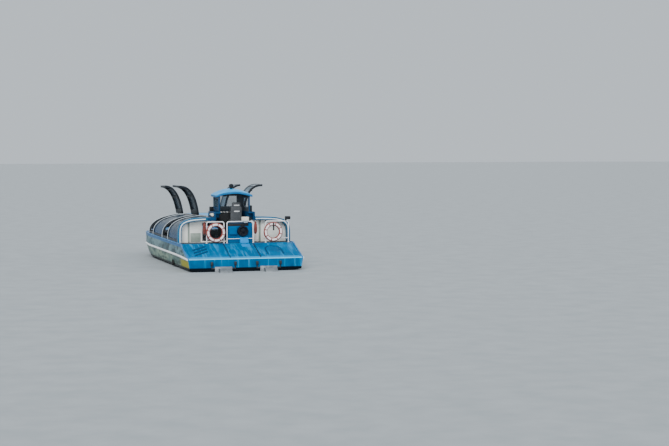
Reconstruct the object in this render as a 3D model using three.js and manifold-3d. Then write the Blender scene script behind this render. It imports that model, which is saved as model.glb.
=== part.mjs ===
// An enclosed passenger jet boat with four raised canopy doors, afloat.
// Millimetres; +X starboard, +Y bow, +Z up; the origin is amidships at the waterline.
import * as THREE from "three";
import { mergeVertices } from "three/addons/utils/BufferGeometryUtils.js";
import Module from "manifold-3d";

const wasm = await Module();
wasm.setup();

// Driving dimensions; every station t is a distance forward of the transom, and every height is
// measured from a drawing datum that lies a little over the waterline
const length = 12200;
const datumHeight = 130;
const transomY = -length / 2;
const touchGap = 0.3;
const slopeEnd = 1400;
const archStart = 1850;
const archEnd = 2110;
const bulkhead = { start: 2120, end: 2170 };
const cabin = { start: 2200, end: 9750, floorZ: 120, wall: 160 };
const doorSpans = { aft: [4220, 5330], forward: [7550, 8620] };
const ribStarts = [4100, 5330, 7430, 8620];
const ribWidth = 120;
const noseBar = { start: 10230, end: 10350 };
const frameDepth = 80;
const beam = { inner: 0.18, outer: 0.24 };
const sillEdge = 0.925;
const hingeAt = 0.2565;
const doorEdge = { top: 0.273, bottom: 0.918 };
const doorDepth = 80;
const doorOpen = { port: 87, starboard: 89 };
const house = { back: 1900, front: 3140, halfWidth: 620, baseZ: 2030, eavesZ: 2600, camber: 135 };
const jetX = 875;
const jetZ = -270;
const railStation = 1500;
const railTopZ = 1670;
const railRadius = 19;
const ring = { middle: 305, tube: 76, centreZ: 1262 };
const helmX = 160;
const wheel = { station: 2700, z: 1960, radius: 190 };

// Hull sections: station, keel z, chine half width and z, rub line z, sheer half width and z
const hullTable = [
  [0, -450, 2165, -70, 338, 2235, 345],
  [slopeEnd, -450, 2168, -65, 374, 2240, 845],
  [2120, -450, 2170, -60, 384, 2240, 845],
  [3000, -450, 2170, -60, 387, 2240, 848],
  [5350, -450, 2170, -60, 390, 2240, 853],
  [8000, -450, 2160, -45, 400, 2235, 875],
  [9300, -410, 2010, 20, 412, 2150, 885],
  [10350, -300, 1540, 140, 440, 1800, 900],
  [11300, -20, 870, 320, 500, 1250, 900],
  [11900, 330, 330, 500, 600, 660, 920],
  [length, 690, 55, 700, 760, 165, 940],
];
const hullColumn = { keelZ: 1, chineX: 2, chineZ: 3, rubZ: 4, sheerX: 5, sheerZ: 6 };

// Canopy sections: station, half width, crown z, squareness of the curve
const canopyTable = [
  [archStart, 2205, 1810, 5.8],
  [2150, 2205, 1809, 5.3],
  [4200, 2195, 1805, 3.15],
  [5350, 2190, 1780, 2.9],
  [7450, 2175, 1735, 2.7],
  [8650, 2135, 1700, 2.55],
  [9300, 2010, 1570, 2.35],
  [9900, 1730, 1335, 2.25],
  [10350, 1380, 1145, 2.2],
];
const canopyColumn = { halfWidth: 1, crownZ: 2, power: 3 };

const yAt = (station) => transomY + station;
const degrees = THREE.MathUtils.degToRad;

// A column of a table, read between its stations
function between(table, column, station) {
  const last = table.length - 1;
  let i = table.findIndex((row) => row[0] > station);
  if (i < 0) i = last;
  if (i === 0) i = 1;
  const [low, high] = [table[i - 1], table[i]];
  const share = (station - low[0]) / (high[0] - low[0]);
  return low[column] + share * (high[column] - low[column]);
}

const hullAt = (name, station) => between(hullTable, hullColumn[name], station);
const canopyAt = (name, station) => between(canopyTable, canopyColumn[name], station);

// The stations where either table bends, inside a span, with the span's ends
function stationsIn(start, end) {
  const inside = [...hullTable, ...canopyTable].map((row) => row[0]);
  const kept = inside.filter((t) => t > start + 1 && t < end - 1);
  return [...new Set([start, ...kept, end])].sort((a, b) => a - b);
}

// Solids and meshes
function solid(geometry) {
  const bare = geometry.clone();
  bare.deleteAttribute("normal");
  bare.deleteAttribute("uv");
  const merged = mergeVertices(bare, 1e-3);
  return new wasm.Manifold(
    new wasm.Mesh({
      numProp: 3,
      vertProperties: new Float32Array(merged.attributes.position.array),
      triVerts: new Uint32Array(merged.index.array),
    }),
  );
}

function geometryOf(body) {
  const mesh = body.getMesh();
  const geometry = new THREE.BufferGeometry();
  geometry.setAttribute("position", new THREE.BufferAttribute(new Float32Array(mesh.vertProperties), 3));
  geometry.setIndex(new THREE.BufferAttribute(new Uint32Array(mesh.triVerts), 1));
  return geometry;
}

const join = (...pieces) => pieces.reduce((sum, piece) => sum.add(piece));
const cut = (base, ...tools) => tools.reduce((left, tool) => left.subtract(tool), base);

// A box from its limits
function block([x0, x1], [y0, y1], [z0, z1]) {
  const geometry = new THREE.BoxGeometry(x1 - x0, y1 - y0, z1 - z0);
  return solid(geometry.translate((x0 + x1) / 2, (y0 + y1) / 2, (z0 + z1) / 2));
}

const flatRing = (ring) => ring.map((p) => new THREE.Vector2(p[0], p[2]));

// The triangles that close a ring: as a strip between its two halves, or as a plain outline
function capFaces(ring, asStrip) {
  if (!asStrip) return THREE.ShapeUtils.triangulateShape(flatRing(ring), []);
  const faces = [];
  const last = ring.length - 1;
  for (let i = 0; i < ring.length / 2 - 1; i++) {
    faces.push([i, i + 1, last - i], [i + 1, last - i - 1, last - i]);
  }
  return faces;
}

// A closed body through rings of points; its faces are turned outward by its signed volume
function loftGeometry(rings, asStrip = false) {
  const count = rings[0].length;
  const points = rings.flat();
  const faces = [];
  for (let r = 0; r + 1 < rings.length; r++) {
    for (let i = 0; i < count; i++) {
      const a = r * count + i;
      const b = r * count + ((i + 1) % count);
      faces.push([a, b, b + count], [a, b + count, a + count]);
    }
  }
  const end = (rings.length - 1) * count;
  const clockwise = !asStrip && THREE.ShapeUtils.area(flatRing(rings[0])) < 0;
  for (const [a, b, c] of capFaces(rings[0], asStrip)) faces.push(clockwise ? [a, b, c] : [a, c, b]);
  for (const face of capFaces(rings.at(-1), asStrip)) {
    const [a, b, c] = face.map((i) => i + end);
    faces.push(clockwise ? [a, c, b] : [a, b, c]);
  }
  return outward(points, faces);
}

function outward(points, faces) {
  let volume = 0;
  const vector = (i) => new THREE.Vector3(...points[i]);
  for (const [a, b, c] of faces) volume += vector(a).dot(vector(b).cross(vector(c)));
  const order = volume < 0 ? faces.map(([a, b, c]) => [a, c, b]) : faces;
  const geometry = new THREE.BufferGeometry();
  geometry.setAttribute("position", new THREE.Float32BufferAttribute(points.flat(), 3));
  geometry.setIndex(order.flat());
  return geometry;
}

const loft = (rings, asStrip) => solid(loftGeometry(rings, asStrip));

// An outline of [x, z] points carried from one y to another
function prismY(outline, y0, y1) {
  return loft([outline.map(([x, z]) => [x, y0, z]), outline.map(([x, z]) => [x, y1, z])]);
}

// An outline of [y, z] points carried from one x to another
function prismX(outline, x0, x1) {
  const shape = new THREE.Shape(outline.map(([y, z]) => new THREE.Vector2(y, z)));
  const geometry = new THREE.ExtrudeGeometry(shape, { depth: x1 - x0, bevelEnabled: false });
  return solid(geometry.rotateX(Math.PI / 2).rotateZ(Math.PI / 2).translate(x0, 0, 0));
}

// A round bar between two points
function rod(from, to, radius, sides = 12) {
  const [a, b] = [new THREE.Vector3(...from), new THREE.Vector3(...to)];
  const geometry = new THREE.CylinderGeometry(radius, radius, a.distanceTo(b), sides);
  const along = b.clone().sub(a).normalize();
  const turn = new THREE.Quaternion().setFromUnitVectors(new THREE.Vector3(0, 1, 0), along);
  const middle = a.add(b).multiplyScalar(0.5);
  return solid(geometry.applyQuaternion(turn).translate(middle.x, middle.y, middle.z));
}

// A bent tube through corner points, with round bends
function bentTube(corners, radius, bend, steps = 22) {
  const points = corners.map((corner) => new THREE.Vector3(...corner));
  const path = new THREE.CurvePath();
  let from = points[0];
  for (let i = 1; i + 1 < points.length; i++) {
    const [before, corner, after] = [points[i - 1], points[i], points[i + 1]];
    const enter = corner.clone().add(before.clone().sub(corner).setLength(bend));
    const leave = corner.clone().add(after.clone().sub(corner).setLength(bend));
    path.add(new THREE.LineCurve3(from, enter));
    path.add(new THREE.QuadraticBezierCurve3(enter, corner, leave));
    from = leave;
  }
  path.add(new THREE.LineCurve3(from, points.at(-1)));
  const section = new THREE.Shape().absarc(0, 0, radius, 0, Math.PI * 2);
  return solid(new THREE.ExtrudeGeometry(section, { steps, curveSegments: 4, extrudePath: path }));
}

// A turned form about the vertical axis from [radius, z] points
function turned(profile, sides = 24) {
  const points = profile.map(([r, z]) => new THREE.Vector2(r, z));
  return new THREE.LatheGeometry(points, sides).rotateX(Math.PI / 2);
}

// The other side's copy, with its faces still pointing outward
function mirrored(body) {
  const geometry = geometryOf(body).scale(-1, 1, 1);
  const index = geometry.index.array;
  for (let i = 0; i < index.length; i += 3) [index[i + 1], index[i + 2]] = [index[i + 2], index[i + 1]];
  return solid(geometry);
}

// The model, raised from its drawing datum to where it floats, and its finishes
const boat = new THREE.Group();
boat.position.z = datumHeight;
const finishes = {
  hullBlue: [0x0a78b4, 0.32, 0.1],
  skyBlue: [0x5db4e2, 0.35, 0.05],
  deepBlue: [0x0b5c93, 0.35, 0.1],
  teal: [0x1f4f60, 0.4, 0.1],
  white: [0xdcdcd2, 0.45, 0],
  black: [0x15181c, 0.5, 0],
  tintedPane: [0x5e7886, 0.12, 0],
  darkPane: [0x33424c, 0.15, 0],
  greyDeck: [0x6f7478, 0.8, 0],
  seatGrey: [0x4b4f55, 0.8, 0],
  stainless: [0xd8d8dc, 0.25, 0.9],
  castAluminium: [0x8e9398, 0.5, 0.8],
  lifeRed: [0xc8452b, 0.6, 0],
  cream: [0xd8d2bd, 0.6, 0],
};
const materials = {};
for (const [name, [color, roughness, metalness]] of Object.entries(finishes)) {
  materials[name] = new THREE.MeshStandardMaterial({ color, roughness, metalness });
}

function place(name, body, finish, parent = boat) {
  const mesh = new THREE.Mesh(geometryOf(body), materials[finish]);
  mesh.name = name;
  parent.add(mesh);
  return mesh;
}

// Hull: a lofted vee bottom with a flat deck, a cabin well and two engine wells
const engineWell = { start: 130, end: 1270, floorZ: -20, inner: 620, outer: 1900 };

function hullRing(station) {
  const at = (name) => hullAt(name, station);
  const side = [
    [at("chineX"), at("chineZ")],
    [at("sheerX"), at("rubZ")],
    [at("sheerX"), at("sheerZ")],
  ];
  const port = side.map(([x, z]) => [-x, z]).reverse();
  return [[0, at("keelZ")], ...side, ...port].map(([x, z]) => [x, yAt(station), z]);
}

// Half the hull's width on its topsides, at a height between chine and rub line
function topsideX(station, z) {
  const share = (z - hullAt("chineZ", station)) / (hullAt("rubZ", station) - hullAt("chineZ", station));
  return hullAt("chineX", station) + share * (hullAt("sheerX", station) - hullAt("chineX", station));
}

function cabinWell() {
  const ringAt = (station) => {
    const side = [
      [topsideX(station, cabin.floorZ) - cabin.wall, cabin.floorZ],
      [hullAt("sheerX", station) - cabin.wall, hullAt("rubZ", station)],
      [hullAt("sheerX", station) - cabin.wall, 1200],
    ];
    const port = side.map(([x, z]) => [-x, z]).reverse();
    return [...side, ...port].map(([x, z]) => [x, yAt(station), z]);
  };
  return loft([cabin.start, 5350, 8000, 9300, cabin.end].map(ringAt));
}

const exhaust = { station: 2970, z: 45, radius: 84, depthX: 2110 };
function exhaustBore(side) {
  const y = yAt(exhaust.station);
  return rod([side * 2500, y, exhaust.z], [side * exhaust.depthX, y, exhaust.z], exhaust.radius, 20);
}

const slope = (station) => hullAt("sheerZ", station);
const hull = loft(hullTable.map((row) => hullRing(row[0])));
const wells = [1, -1].map((side) => {
  const limits = [side * engineWell.inner, side * engineWell.outer].sort((a, b) => a - b);
  return block(limits, [yAt(engineWell.start), yAt(engineWell.end)], [engineWell.floorZ, 1000]);
});
place("hull_shell", cut(hull, cabinWell(), ...wells, exhaustBore(1), exhaustBore(-1)), "hullBlue");

// Rub rails: a white half round along each side at the rub line
function rubRail() {
  const outstand = 38;
  const halfHeight = 45;
  const start = hullTable[0][0];
  return loft(
    stationsIn(start, 12100).map((station) => {
      const x = hullAt("sheerX", station) + touchGap;
      const z = hullAt("rubZ", station) + (station === start ? 0 : 4);
      const section = [
        [x, z - halfHeight],
        [x + outstand * 0.8, z - halfHeight * 0.6],
        [x + outstand, z],
        [x + outstand * 0.8, z + halfHeight * 0.6],
        [x, z + halfHeight],
      ];
      return section.map(([px, pz]) => [px, yAt(station), pz]);
    }),
  );
}
place("rub_rail_starboard", rubRail(), "white");
place("rub_rail_port", mirrored(rubRail()), "white");

// Canopy surface: across is -1 at the port sill, 0 at the crown and 1 at the starboard sill.
// Between the tables' stations it is ruled with straight lines, so that panels fit each other.
const canopyStations = [...hullTable, ...canopyTable].map((row) => row[0]).sort((a, b) => a - b);

function canopyPoint(station, across, outer) {
  const after = canopyStations.find((t) => t >= station);
  const before = canopyStations.findLast((t) => t <= station);
  if (after === before) return canopySectionPoint(station, across, outer);
  const [a, b] = [before, after].map((t) => canopySectionPoint(t, across, outer));
  const share = (station - before) / (after - before);
  return a.map((value, i) => value + share * (b[i] - value));
}

function canopySectionPoint(station, across, outer) {
  const half = canopyAt("halfWidth", station);
  const sillZ = hullAt("sheerZ", station) + touchGap;
  const rise = canopyAt("crownZ", station) - sillZ;
  const power = canopyAt("power", station);
  const curve = (place) => {
    const angle = (1 - Math.abs(place)) * (Math.PI / 2);
    const [c, s] = [Math.cos(angle), Math.sin(angle)];
    const reach = (Math.abs(c) ** power + Math.abs(s) ** power) ** (-1 / power);
    return [Math.sign(place) * half * c * reach, sillZ + rise * s * reach];
  };
  const step = 0.004;
  const [x, z] = curve(across);
  const [xa, za] = curve(Math.max(across - step, -1));
  const [xb, zb] = curve(Math.min(across + step, 1));
  const run = Math.hypot(xb - xa, zb - za);
  return [x - (outer * (zb - za)) / run, yAt(station), z + (outer * (xb - xa)) / run];
}

// A curved panel of the canopy: a span of stations, a span across, its outer face and its depth
function canopyPanel([start, end], [from, to], outer, depth, steps = 10) {
  const places = Array.from({ length: steps + 1 }, (_, i) => from + ((to - from) * i) / steps);
  return loft(
    stationsIn(start, end).map((station) => [
      ...places.map((p) => canopyPoint(station, p, outer)),
      ...places.toReversed().map((p) => canopyPoint(station, p, outer - depth)),
    ]),
    true,
  );
}

// What lies below the deck, for trimming the canopy's feet
const belowDeck = loft(
  stationsIn(slopeEnd, 11000).map((station) => {
    const top = hullAt("sheerZ", station) + touchGap;
    const corners = [[-2600, top - 400], [2600, top - 400], [2600, top], [-2600, top]];
    return corners.map(([x, z]) => [x, yAt(station), z]);
  }),
);

// Stern arch: the canopy's aft end, a deep leg on each side of the pilothouse
const archProud = 30;
const archInner = { port: -1050, starboard: 810 };
function archLeg(limits) {
  const hoop = canopyPanel([archStart, archEnd], [-1, 1], archProud, 130, 28);
  const away = block(limits, [yAt(archStart) - 50, yAt(archEnd) + 50], [600, 2200]);
  return cut(hoop, belowDeck, away);
}
place("stern_arch_port", archLeg([archInner.port, 2600]), "teal");
place("stern_arch_starboard", archLeg([-2600, archInner.starboard]), "teal");

// Canopy frame: ribs, sills, hinge beams and nose bar in one welded piece
function knuckles(span, side, owner) {
  const [start, end] = span;
  const centre = hingeLine(span, side);
  const pieces = [];
  for (const station of [start + 170, end - 170]) {
    const lengths = owner === "door" ? [[-30, 30]] : [[-62, -30.6], [30.6, 62]];
    for (const [low, high] of lengths) {
      const reach = owner === "door" ? [hingeAt, doorEdge.top + 0.02] : [beam.outer - 0.012, hingeAt];
      const leaf = reach.map((place) => place * side).sort((a, b) => a - b);
      pieces.push(canopyPanel([station + low, station + high], leaf, -5, 12, 2));
      const barrel = [station + low, station + high].map((t) => [centre.x, yAt(t), centre.z]);
      pieces.push(rod(barrel[0], barrel[1], 14, 12));
    }
  }
  return join(...pieces);
}

function hingeLine([start, end], side) {
  const [x, , z] = canopyPoint((start + end) / 2, side * hingeAt, -11);
  return { x, z };
}

function canopyFrame() {
  const pieces = [];
  for (const side of [1, -1]) {
    const across = (low, high) => [side * low, side * high].sort((a, b) => a - b);
    pieces.push(canopyPanel([archEnd + 1, noseBar.end], across(sillEdge, 1), 0, frameDepth, 2));
    const beamSpan = [archEnd + 1, ribStarts.at(-1) + ribWidth];
    pieces.push(canopyPanel(beamSpan, across(beam.inner, beam.outer), 0, frameDepth, 2));
    for (const start of ribStarts) {
      pieces.push(canopyPanel([start, start + ribWidth], across(beam.inner, 1), 0, frameDepth, 12));
    }
    for (const span of Object.values(doorSpans)) pieces.push(knuckles(span, side, "frame"));
  }
  for (const start of [ribStarts.at(-1), house.front + 60]) {
    pieces.push(canopyPanel([start, start + ribWidth], [-beam.outer, beam.outer], 0, frameDepth, 6));
  }
  pieces.push(canopyPanel([noseBar.start, noseBar.end], [-1, 1], 0, frameDepth, 16));
  return cut(join(...pieces), belowDeck);
}
place("canopy_frame", canopyFrame(), "black");

// Roof spine: the solid panel along the crown between the hinge beams
const spineSpan = [house.front + 60 + ribWidth + touchGap, ribStarts.at(-1) - touchGap];
const spineEdge = beam.inner - 0.0003;
place("roof_spine", canopyPanel(spineSpan, [-spineEdge, spineEdge], -8, 40, 12), "skyBlue");

// Fixed panes: the clear span between frames, and the wrapped windscreen
const paneInset = 0.0016;
const paneDepth = { outer: -25, thickness: 12 };
const paneSpans = { quarter: [archEnd + 1, ribStarts[0]], middle: [ribStarts[1] + ribWidth, ribStarts[2]] };
for (const [name, [start, end]] of Object.entries(paneSpans)) {
  for (const [word, side] of [["starboard", 1], ["port", -1]]) {
    const across = [side * (beam.outer + paneInset), side * (sillEdge - paneInset)].sort((a, b) => a - b);
    const span = [start + touchGap, end - touchGap];
    const pane = canopyPanel(span, across, paneDepth.outer, paneDepth.thickness, 12);
    place(`${name}_pane_${word}`, pane, "tintedPane");
  }
}
const frontSpan = [ribStarts.at(-1) + ribWidth + touchGap, noseBar.start - touchGap];
const frontAcross = [0.055 - sillEdge, sillEdge - 0.055];
const windscreen = canopyPanel(frontSpan, frontAcross, paneDepth.outer, paneDepth.thickness, 24);
place("windscreen", cut(windscreen, belowDeck), "tintedPane");

// Gull-wing doors: a glazed rim turned up about the hinge line
function door(name, [start, end], word, side) {
  const gap = 9;
  const rim = 75;
  const span = [start + gap, end - gap];
  const across = (low, high) => [side * low, side * high].sort((a, b) => a - b);
  const light = [doorEdge.top + 0.05, doorEdge.bottom - 0.05];
  const glassSpan = [span[0] + rim, span[1] - rim];
  const whole = canopyPanel(span, across(doorEdge.top, doorEdge.bottom), 0, doorDepth, 12);
  const window = canopyPanel(glassSpan, across(...light), 20, doorDepth + 40, 12);
  const latch = canopyPanel([span[0] + 15, span[0] + 60], across(0.57, 0.63), 1 - doorDepth, 34, 2);
  const pivot = hingeLine([start, end], side);
  const group = new THREE.Group();
  group.position.set(pivot.x, 0, pivot.z);
  group.rotation.y = -side * degrees(doorOpen[word]);
  boat.add(group);
  const frame = join(cut(whole, window), latch, knuckles([start, end], side, "door"));
  const edges = across(light[0] + paneInset, light[1] - paneInset);
  const pane = canopyPanel([glassSpan[0] + touchGap, glassSpan[1] - touchGap], edges, -14, 10, 12);
  const leaves = [[`${name}_frame`, frame, "black"], [`${name}_pane`, pane, "darkPane"]];
  for (const [node, body, finish] of leaves) {
    place(node, body, finish, group).geometry.translate(-pivot.x, 0, -pivot.z);
  }
}
for (const [where, span] of Object.entries(doorSpans)) {
  for (const [word, side] of [["port", -1], ["starboard", 1]]) {
    door(`door_${where}_${word}`, span, word, side);
  }
}

// Aft bulkhead: a white wall inside the arch with a doorway to port and an open helm back
function aftBulkhead() {
  const clear = -frameDepth - 5;
  const outline = [];
  const count = 30;
  for (let i = 0; i <= count; i++) {
    const [x, , z] = canopyPoint(bulkhead.start, -1 + (2 * i) / count, clear);
    outline.push([x, Math.max(z, hullAt("sheerZ", bulkhead.end) + touchGap)]);
  }
  const wall = prismY(outline, yAt(bulkhead.start), yAt(bulkhead.end));
  const span = [yAt(bulkhead.start) - 50, yAt(bulkhead.end) + 50];
  const doorway = block([-1230, -200], span, [900, 1600]);
  const helmBack = block([-740, 740], span, [1580, 2200]);
  return cut(wall, doorway, helmBack);
}
place("aft_bulkhead", aftBulkhead(), "white");

// Two banks of benches on the cabin floor
const benchRows = { first: 3650, pitch: 850, count: 6, inner: 330, outer: 1850 };
function benchBank() {
  const z = cabin.floorZ + touchGap;
  const outline = (t) => [
    [t, z + 240], [t + 470, z + 240], [t + 490, z + 330], [t + 60, z + 350],
    [t - 60, z + 860], [t - 130, z + 860], [t - 60, z + 240],
  ].map(([station, height]) => [yAt(station), height]);
  const rows = Array.from({ length: benchRows.count }, (_, i) =>
    prismX(outline(benchRows.first + i * benchRows.pitch), benchRows.inner, benchRows.outer));
  const last = benchRows.first + (benchRows.count - 1) * benchRows.pitch;
  const plinth = [yAt(benchRows.first - 40), yAt(last + 380)];
  return join(block([benchRows.inner + 250, benchRows.outer - 350], plinth, [z, z + 241]), ...rows);
}
place("bench_bank_starboard", benchBank(), "seatGrey");
place("bench_bank_port", mirrored(benchBank()), "seatGrey");

// Helm: a raised platform, a seat, a console and the wheel
const helmDeckZ = 1000;
place(
  "helm_platform",
  block([-640, 640], [yAt(2230), yAt(3340)], [cabin.floorZ + touchGap, helmDeckZ]),
  "greyDeck",
);
function helmSeat() {
  const z = helmDeckZ + touchGap;
  const outline = [
    [2270, 440], [2690, 440], [2705, 560], [2380, 575],
    [2340, 1375], [2240, 1390], [2205, 1300], [2260, 500],
  ];
  const cushion = prismX(outline.map(([t, h]) => [yAt(t), z + h]), helmX - 240, helmX + 240);
  const [x, y] = [helmX, yAt(2480)];
  const pedestal = rod([x, y, z + 20], [x, y, z + 450], 60, 16);
  return join(cushion, pedestal, rod([x, y, z], [x, y, z + 25], 170, 20));
}
place("helm_seat", helmSeat(), "seatGrey");
function helmConsole() {
  const z = helmDeckZ + touchGap;
  const outline = [[2800, 0], [3060, 0], [3060, 1000], [2950, 1030], [2770, 930], [2770, 760]];
  const binnacle = prismX(outline.map(([t, h]) => [yAt(t), z + h]), -400, 400);
  const boss = [[helmX, yAt(2900), wheel.z], [helmX, yAt(wheel.station + 22), wheel.z]];
  return join(binnacle, rod(...boss, 26, 16));
}
place("helm_console", helmConsole(), "black");
function steeringWheel() {
  const [y, z] = [yAt(wheel.station), wheel.z];
  const reach = wheel.radius - 15;
  const torus = new THREE.TorusGeometry(reach, 15, 6, 20).rotateX(Math.PI / 2);
  const rim = solid(torus.translate(helmX, y, z));
  const hub = rod([helmX, y - 22, z], [helmX, y + 21.5, z], 45, 16);
  const spokes = [90, 210, 330].map((angle) => {
    const [dx, dz] = [Math.cos(degrees(angle)) * reach, Math.sin(degrees(angle)) * reach];
    return rod([helmX, y, z], [helmX + dx, y, z + dz], 11, 8);
  });
  return join(rim, hub, ...spokes);
}
place("steering_wheel", steeringWheel(), "black");

// Pilothouse: a flared coaming, posts and panes, and a cambered roof
const houseWall = 50;
const housePost = 60;

// What lies under the canopy's outer skin forward of the arch, for seating the coaming
const underCanopy = canopyPanel([archEnd + 1, house.front + 400], [-1, 1], touchGap, 500, 100);

// A plan with its two forward corners cut off
function chamfered(half, back, front, corner, shoulder) {
  const starboard = [[half, back], [half, shoulder], [corner, front]];
  return [[-half, back], ...starboard, [-corner, front], [-half, shoulder]];
}

function houseBase() {
  const back = house.back - 55;
  const foot = archInner.starboard - house.halfWidth - touchGap;
  const levels = [[1700, foot], [2005, foot], [house.baseZ, foot - 20]];
  const rings = levels.map(([z, flare]) => {
    const half = house.halfWidth + flare;
    const [aft, front] = [yAt(back), yAt(house.front + flare * 0.4)];
    return chamfered(half, aft, front, half - 260, front - 260).map(([x, y]) => [x, y, z]);
  });
  const bracket = block([archInner.port + touchGap, -700], [yAt(back), yAt(archEnd)], [1700, 1832]);
  const inner = house.halfWidth - housePost;
  const well = block([-inner, inner], [yAt(back) - 50, yAt(house.front - housePost)], [1600, 2200]);
  const aftWell = block([-740, 740], [yAt(back) - 50, yAt(archEnd + 1)], [1600, 1970]);
  return cut(join(loftUp(rings), bracket), well, aftWell, underCanopy);
}

// A closed body through rings, one above the other
function loftUp(rings) {
  const swapped = rings.map((points) => points.map(([x, y, z]) => [x, z, y]));
  const geometry = loftGeometry(swapped);
  const position = geometry.attributes.position;
  for (let i = 0; i < position.count; i++) {
    position.setXYZ(i, position.getX(i), position.getZ(i), position.getY(i));
  }
  const index = geometry.index.array;
  for (let i = 0; i < index.length; i += 3) [index[i + 1], index[i + 2]] = [index[i + 2], index[i + 1]];
  return solid(geometry);
}

function housePlan(inset, z) {
  const half = house.halfWidth - inset;
  const [back, front] = [yAt(house.back + inset), yAt(house.front - inset)];
  const corner = half - 190 + inset * 0.4;
  const shoulder = front - 240 + inset * 1.4;
  return chamfered(half, back, front, corner, shoulder).map(([x, y]) => [x, y, z]);
}

function houseShell(outer, inner, low, high) {
  const bore = loftUp([housePlan(inner, low - 20), housePlan(inner, high + 20)]);
  return cut(loftUp([housePlan(outer, low), housePlan(outer, high)]), bore);
}

// The roof: station, half width and how far the crown stands over the edges
const roofStations = [
  [1845, 690, 0],
  [1860, 715, 30],
  [1960, 730, 75],
  [2250, 730, 110],
  [2800, 720, 105],
  [2990, 690, 70],
  [3120, 600, 30],
  [3200, 440, 0],
];
const roofHalf = 730;
const roofEdge = 75;
const roofUnder = (x) => house.eavesZ + house.camber * (1 - (x / roofHalf) ** 2);

function roofBody(drop, tall) {
  const count = 16;
  const places = Array.from({ length: count + 1 }, (_, i) => -1 + (2 * i) / count);
  const rings = roofStations.map(([station, half, dome]) => {
    const top = (p) => roofUnder(p * half) + roofEdge + dome * (1 - p * p) + tall;
    const over = places.map((p) => [p * half, yAt(station), top(p)]);
    const under = places.toReversed().map((p) => [p * half, yAt(station), roofUnder(p * half) - drop]);
    return [...over, ...under];
  });
  return loft(rings, true);
}

const baseTop = house.baseZ + touchGap;
const sill = baseTop + 170;
const sideLight = [yAt(house.back + 130), yAt(house.front - 300)];
const frontLight = 380;
const head = house.eavesZ - 50;
function houseFrame() {
  const shell = houseShell(0, houseWall, baseTop, house.eavesZ + house.camber + 40);
  const doorway = house.halfWidth - houseWall;
  const back = [yAt(house.back) - 200, yAt(house.back) + 60];
  const openings = [
    block([-doorway, doorway], back, [baseTop - 10, 3000]),
    block([-frontLight, frontLight], [yAt(house.front) - 100, yAt(house.front) + 50], [sill, head + 60]),
    ...[-1, 1].map((side) => {
      const limits = [side * 500, side * 800].sort((a, b) => a - b);
      return block(limits, sideLight, [sill, head]);
    }),
  ];
  return cut(shell, ...openings, roofBody(touchGap, 300));
}
place("pilothouse_base", houseBase(), "hullBlue");
place("pilothouse_frame", houseFrame(), "deepBlue");
for (const [word, side] of [["port", -1], ["starboard", 1]]) {
  const limits = [side * (house.halfWidth - 32), side * (house.halfWidth - 20)].sort((a, b) => a - b);
  const span = [sideLight[0] + touchGap, sideLight[1] - touchGap];
  place(`pilothouse_pane_${word}`, block(limits, span, [sill + touchGap, head - touchGap]), "tintedPane");
}
const frontPane = block(
  [touchGap - frontLight, frontLight - touchGap],
  [yAt(house.front) - 32, yAt(house.front) - 20],
  [sill + touchGap, head + 60 - touchGap],
);
place("pilothouse_windscreen", frontPane, "tintedPane");
place("pilothouse_roof", roofBody(0, 0), "skyBlue");

// Fittings on the pilothouse and arch
const lampStation = 2250;
function roofLamp() {
  const [x, y] = [-45, yAt(lampStation)];
  const z = roofUnder(0) + roofEdge + 110 + touchGap;
  const foot = block([x - 50, x + 50], [y - 50, y + 50], [z, z + 25]);
  const stem = rod([x, y, z + 20], [x, y, z + 90], 22, 10);
  return join(foot, stem, rod([x, y - 80, z + 112], [x, y + 70, z + 112], 80, 16));
}
place("roof_lamp", roofLamp(), "black");
const portBox = block([-780, -645], [yAt(2740), yAt(2910)], [baseTop, baseTop + 175]);
const starboardX = house.halfWidth + touchGap;
const starboardBox = block([starboardX, starboardX + 95], [yAt(1930), yAt(2100)], [baseTop, baseTop + 240]);
place("side_box_port", portBox, "black");
place("side_box_starboard", starboardBox, "black");
function horn() {
  const radius = 62;
  const x = -archInner.starboard - radius;
  const flare = new THREE.CylinderGeometry(radius, radius * 0.55, 380, 20).rotateX(Math.PI);
  return solid(flare.translate(x, yAt(2080), 1925));
}
place("horn", horn(), "cream");

// Stern rails: three bent tube hoops on the deck
const railY = yAt(railStation);
const railFootZ = hullAt("sheerZ", railStation + railRadius) + touchGap;
const railHoops = [["port", -1190, -510], ["centre", -390, 650], ["starboard", 1150, 2060]];
for (const [word, from, to] of railHoops) {
  const hoop = [[from, railFootZ], [from, railTopZ], [to, railTopZ], [to, railFootZ]];
  const corners = hoop.map(([x, z]) => [x, railY, z]);
  const cross = rod([from, railY, 1010], [to, railY, 1010], 12, 8);
  place(`stern_rail_${word}`, join(bentTube(corners, railRadius, 90), cross), "white");
}

// A work lamp on the starboard rail's outer end
function railLamp() {
  const x = 1950;
  const z = railTopZ + railRadius + touchGap;
  const stem = rod([x, railY, z + 20], [x, railY, z + 60], 30, 12);
  const lens = rod([x - 20, railY, z + 105], [x + 180, railY, z + 105], 62, 14);
  return join(block([x - 45, x + 45], [railY - 40, railY + 40], [z, z + 25]), stem, lens);
}
place("rail_lamp", railLamp(), "black");

// Lifebuoys: rings hung on the aft side of the rails
const ringY = railY - railRadius - ring.tube - touchGap;
for (const [word, x, nearer] of [["port", -850, 7], ["starboard", 1420, 0]]) {
  const torus = new THREE.TorusGeometry(ring.middle, ring.tube, 8, 24).rotateX(Math.PI / 2);
  place(`lifebuoy_${word}`, solid(torus.translate(x, ringY + nearer, ring.centreZ)), "lifeRed");
}

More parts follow.
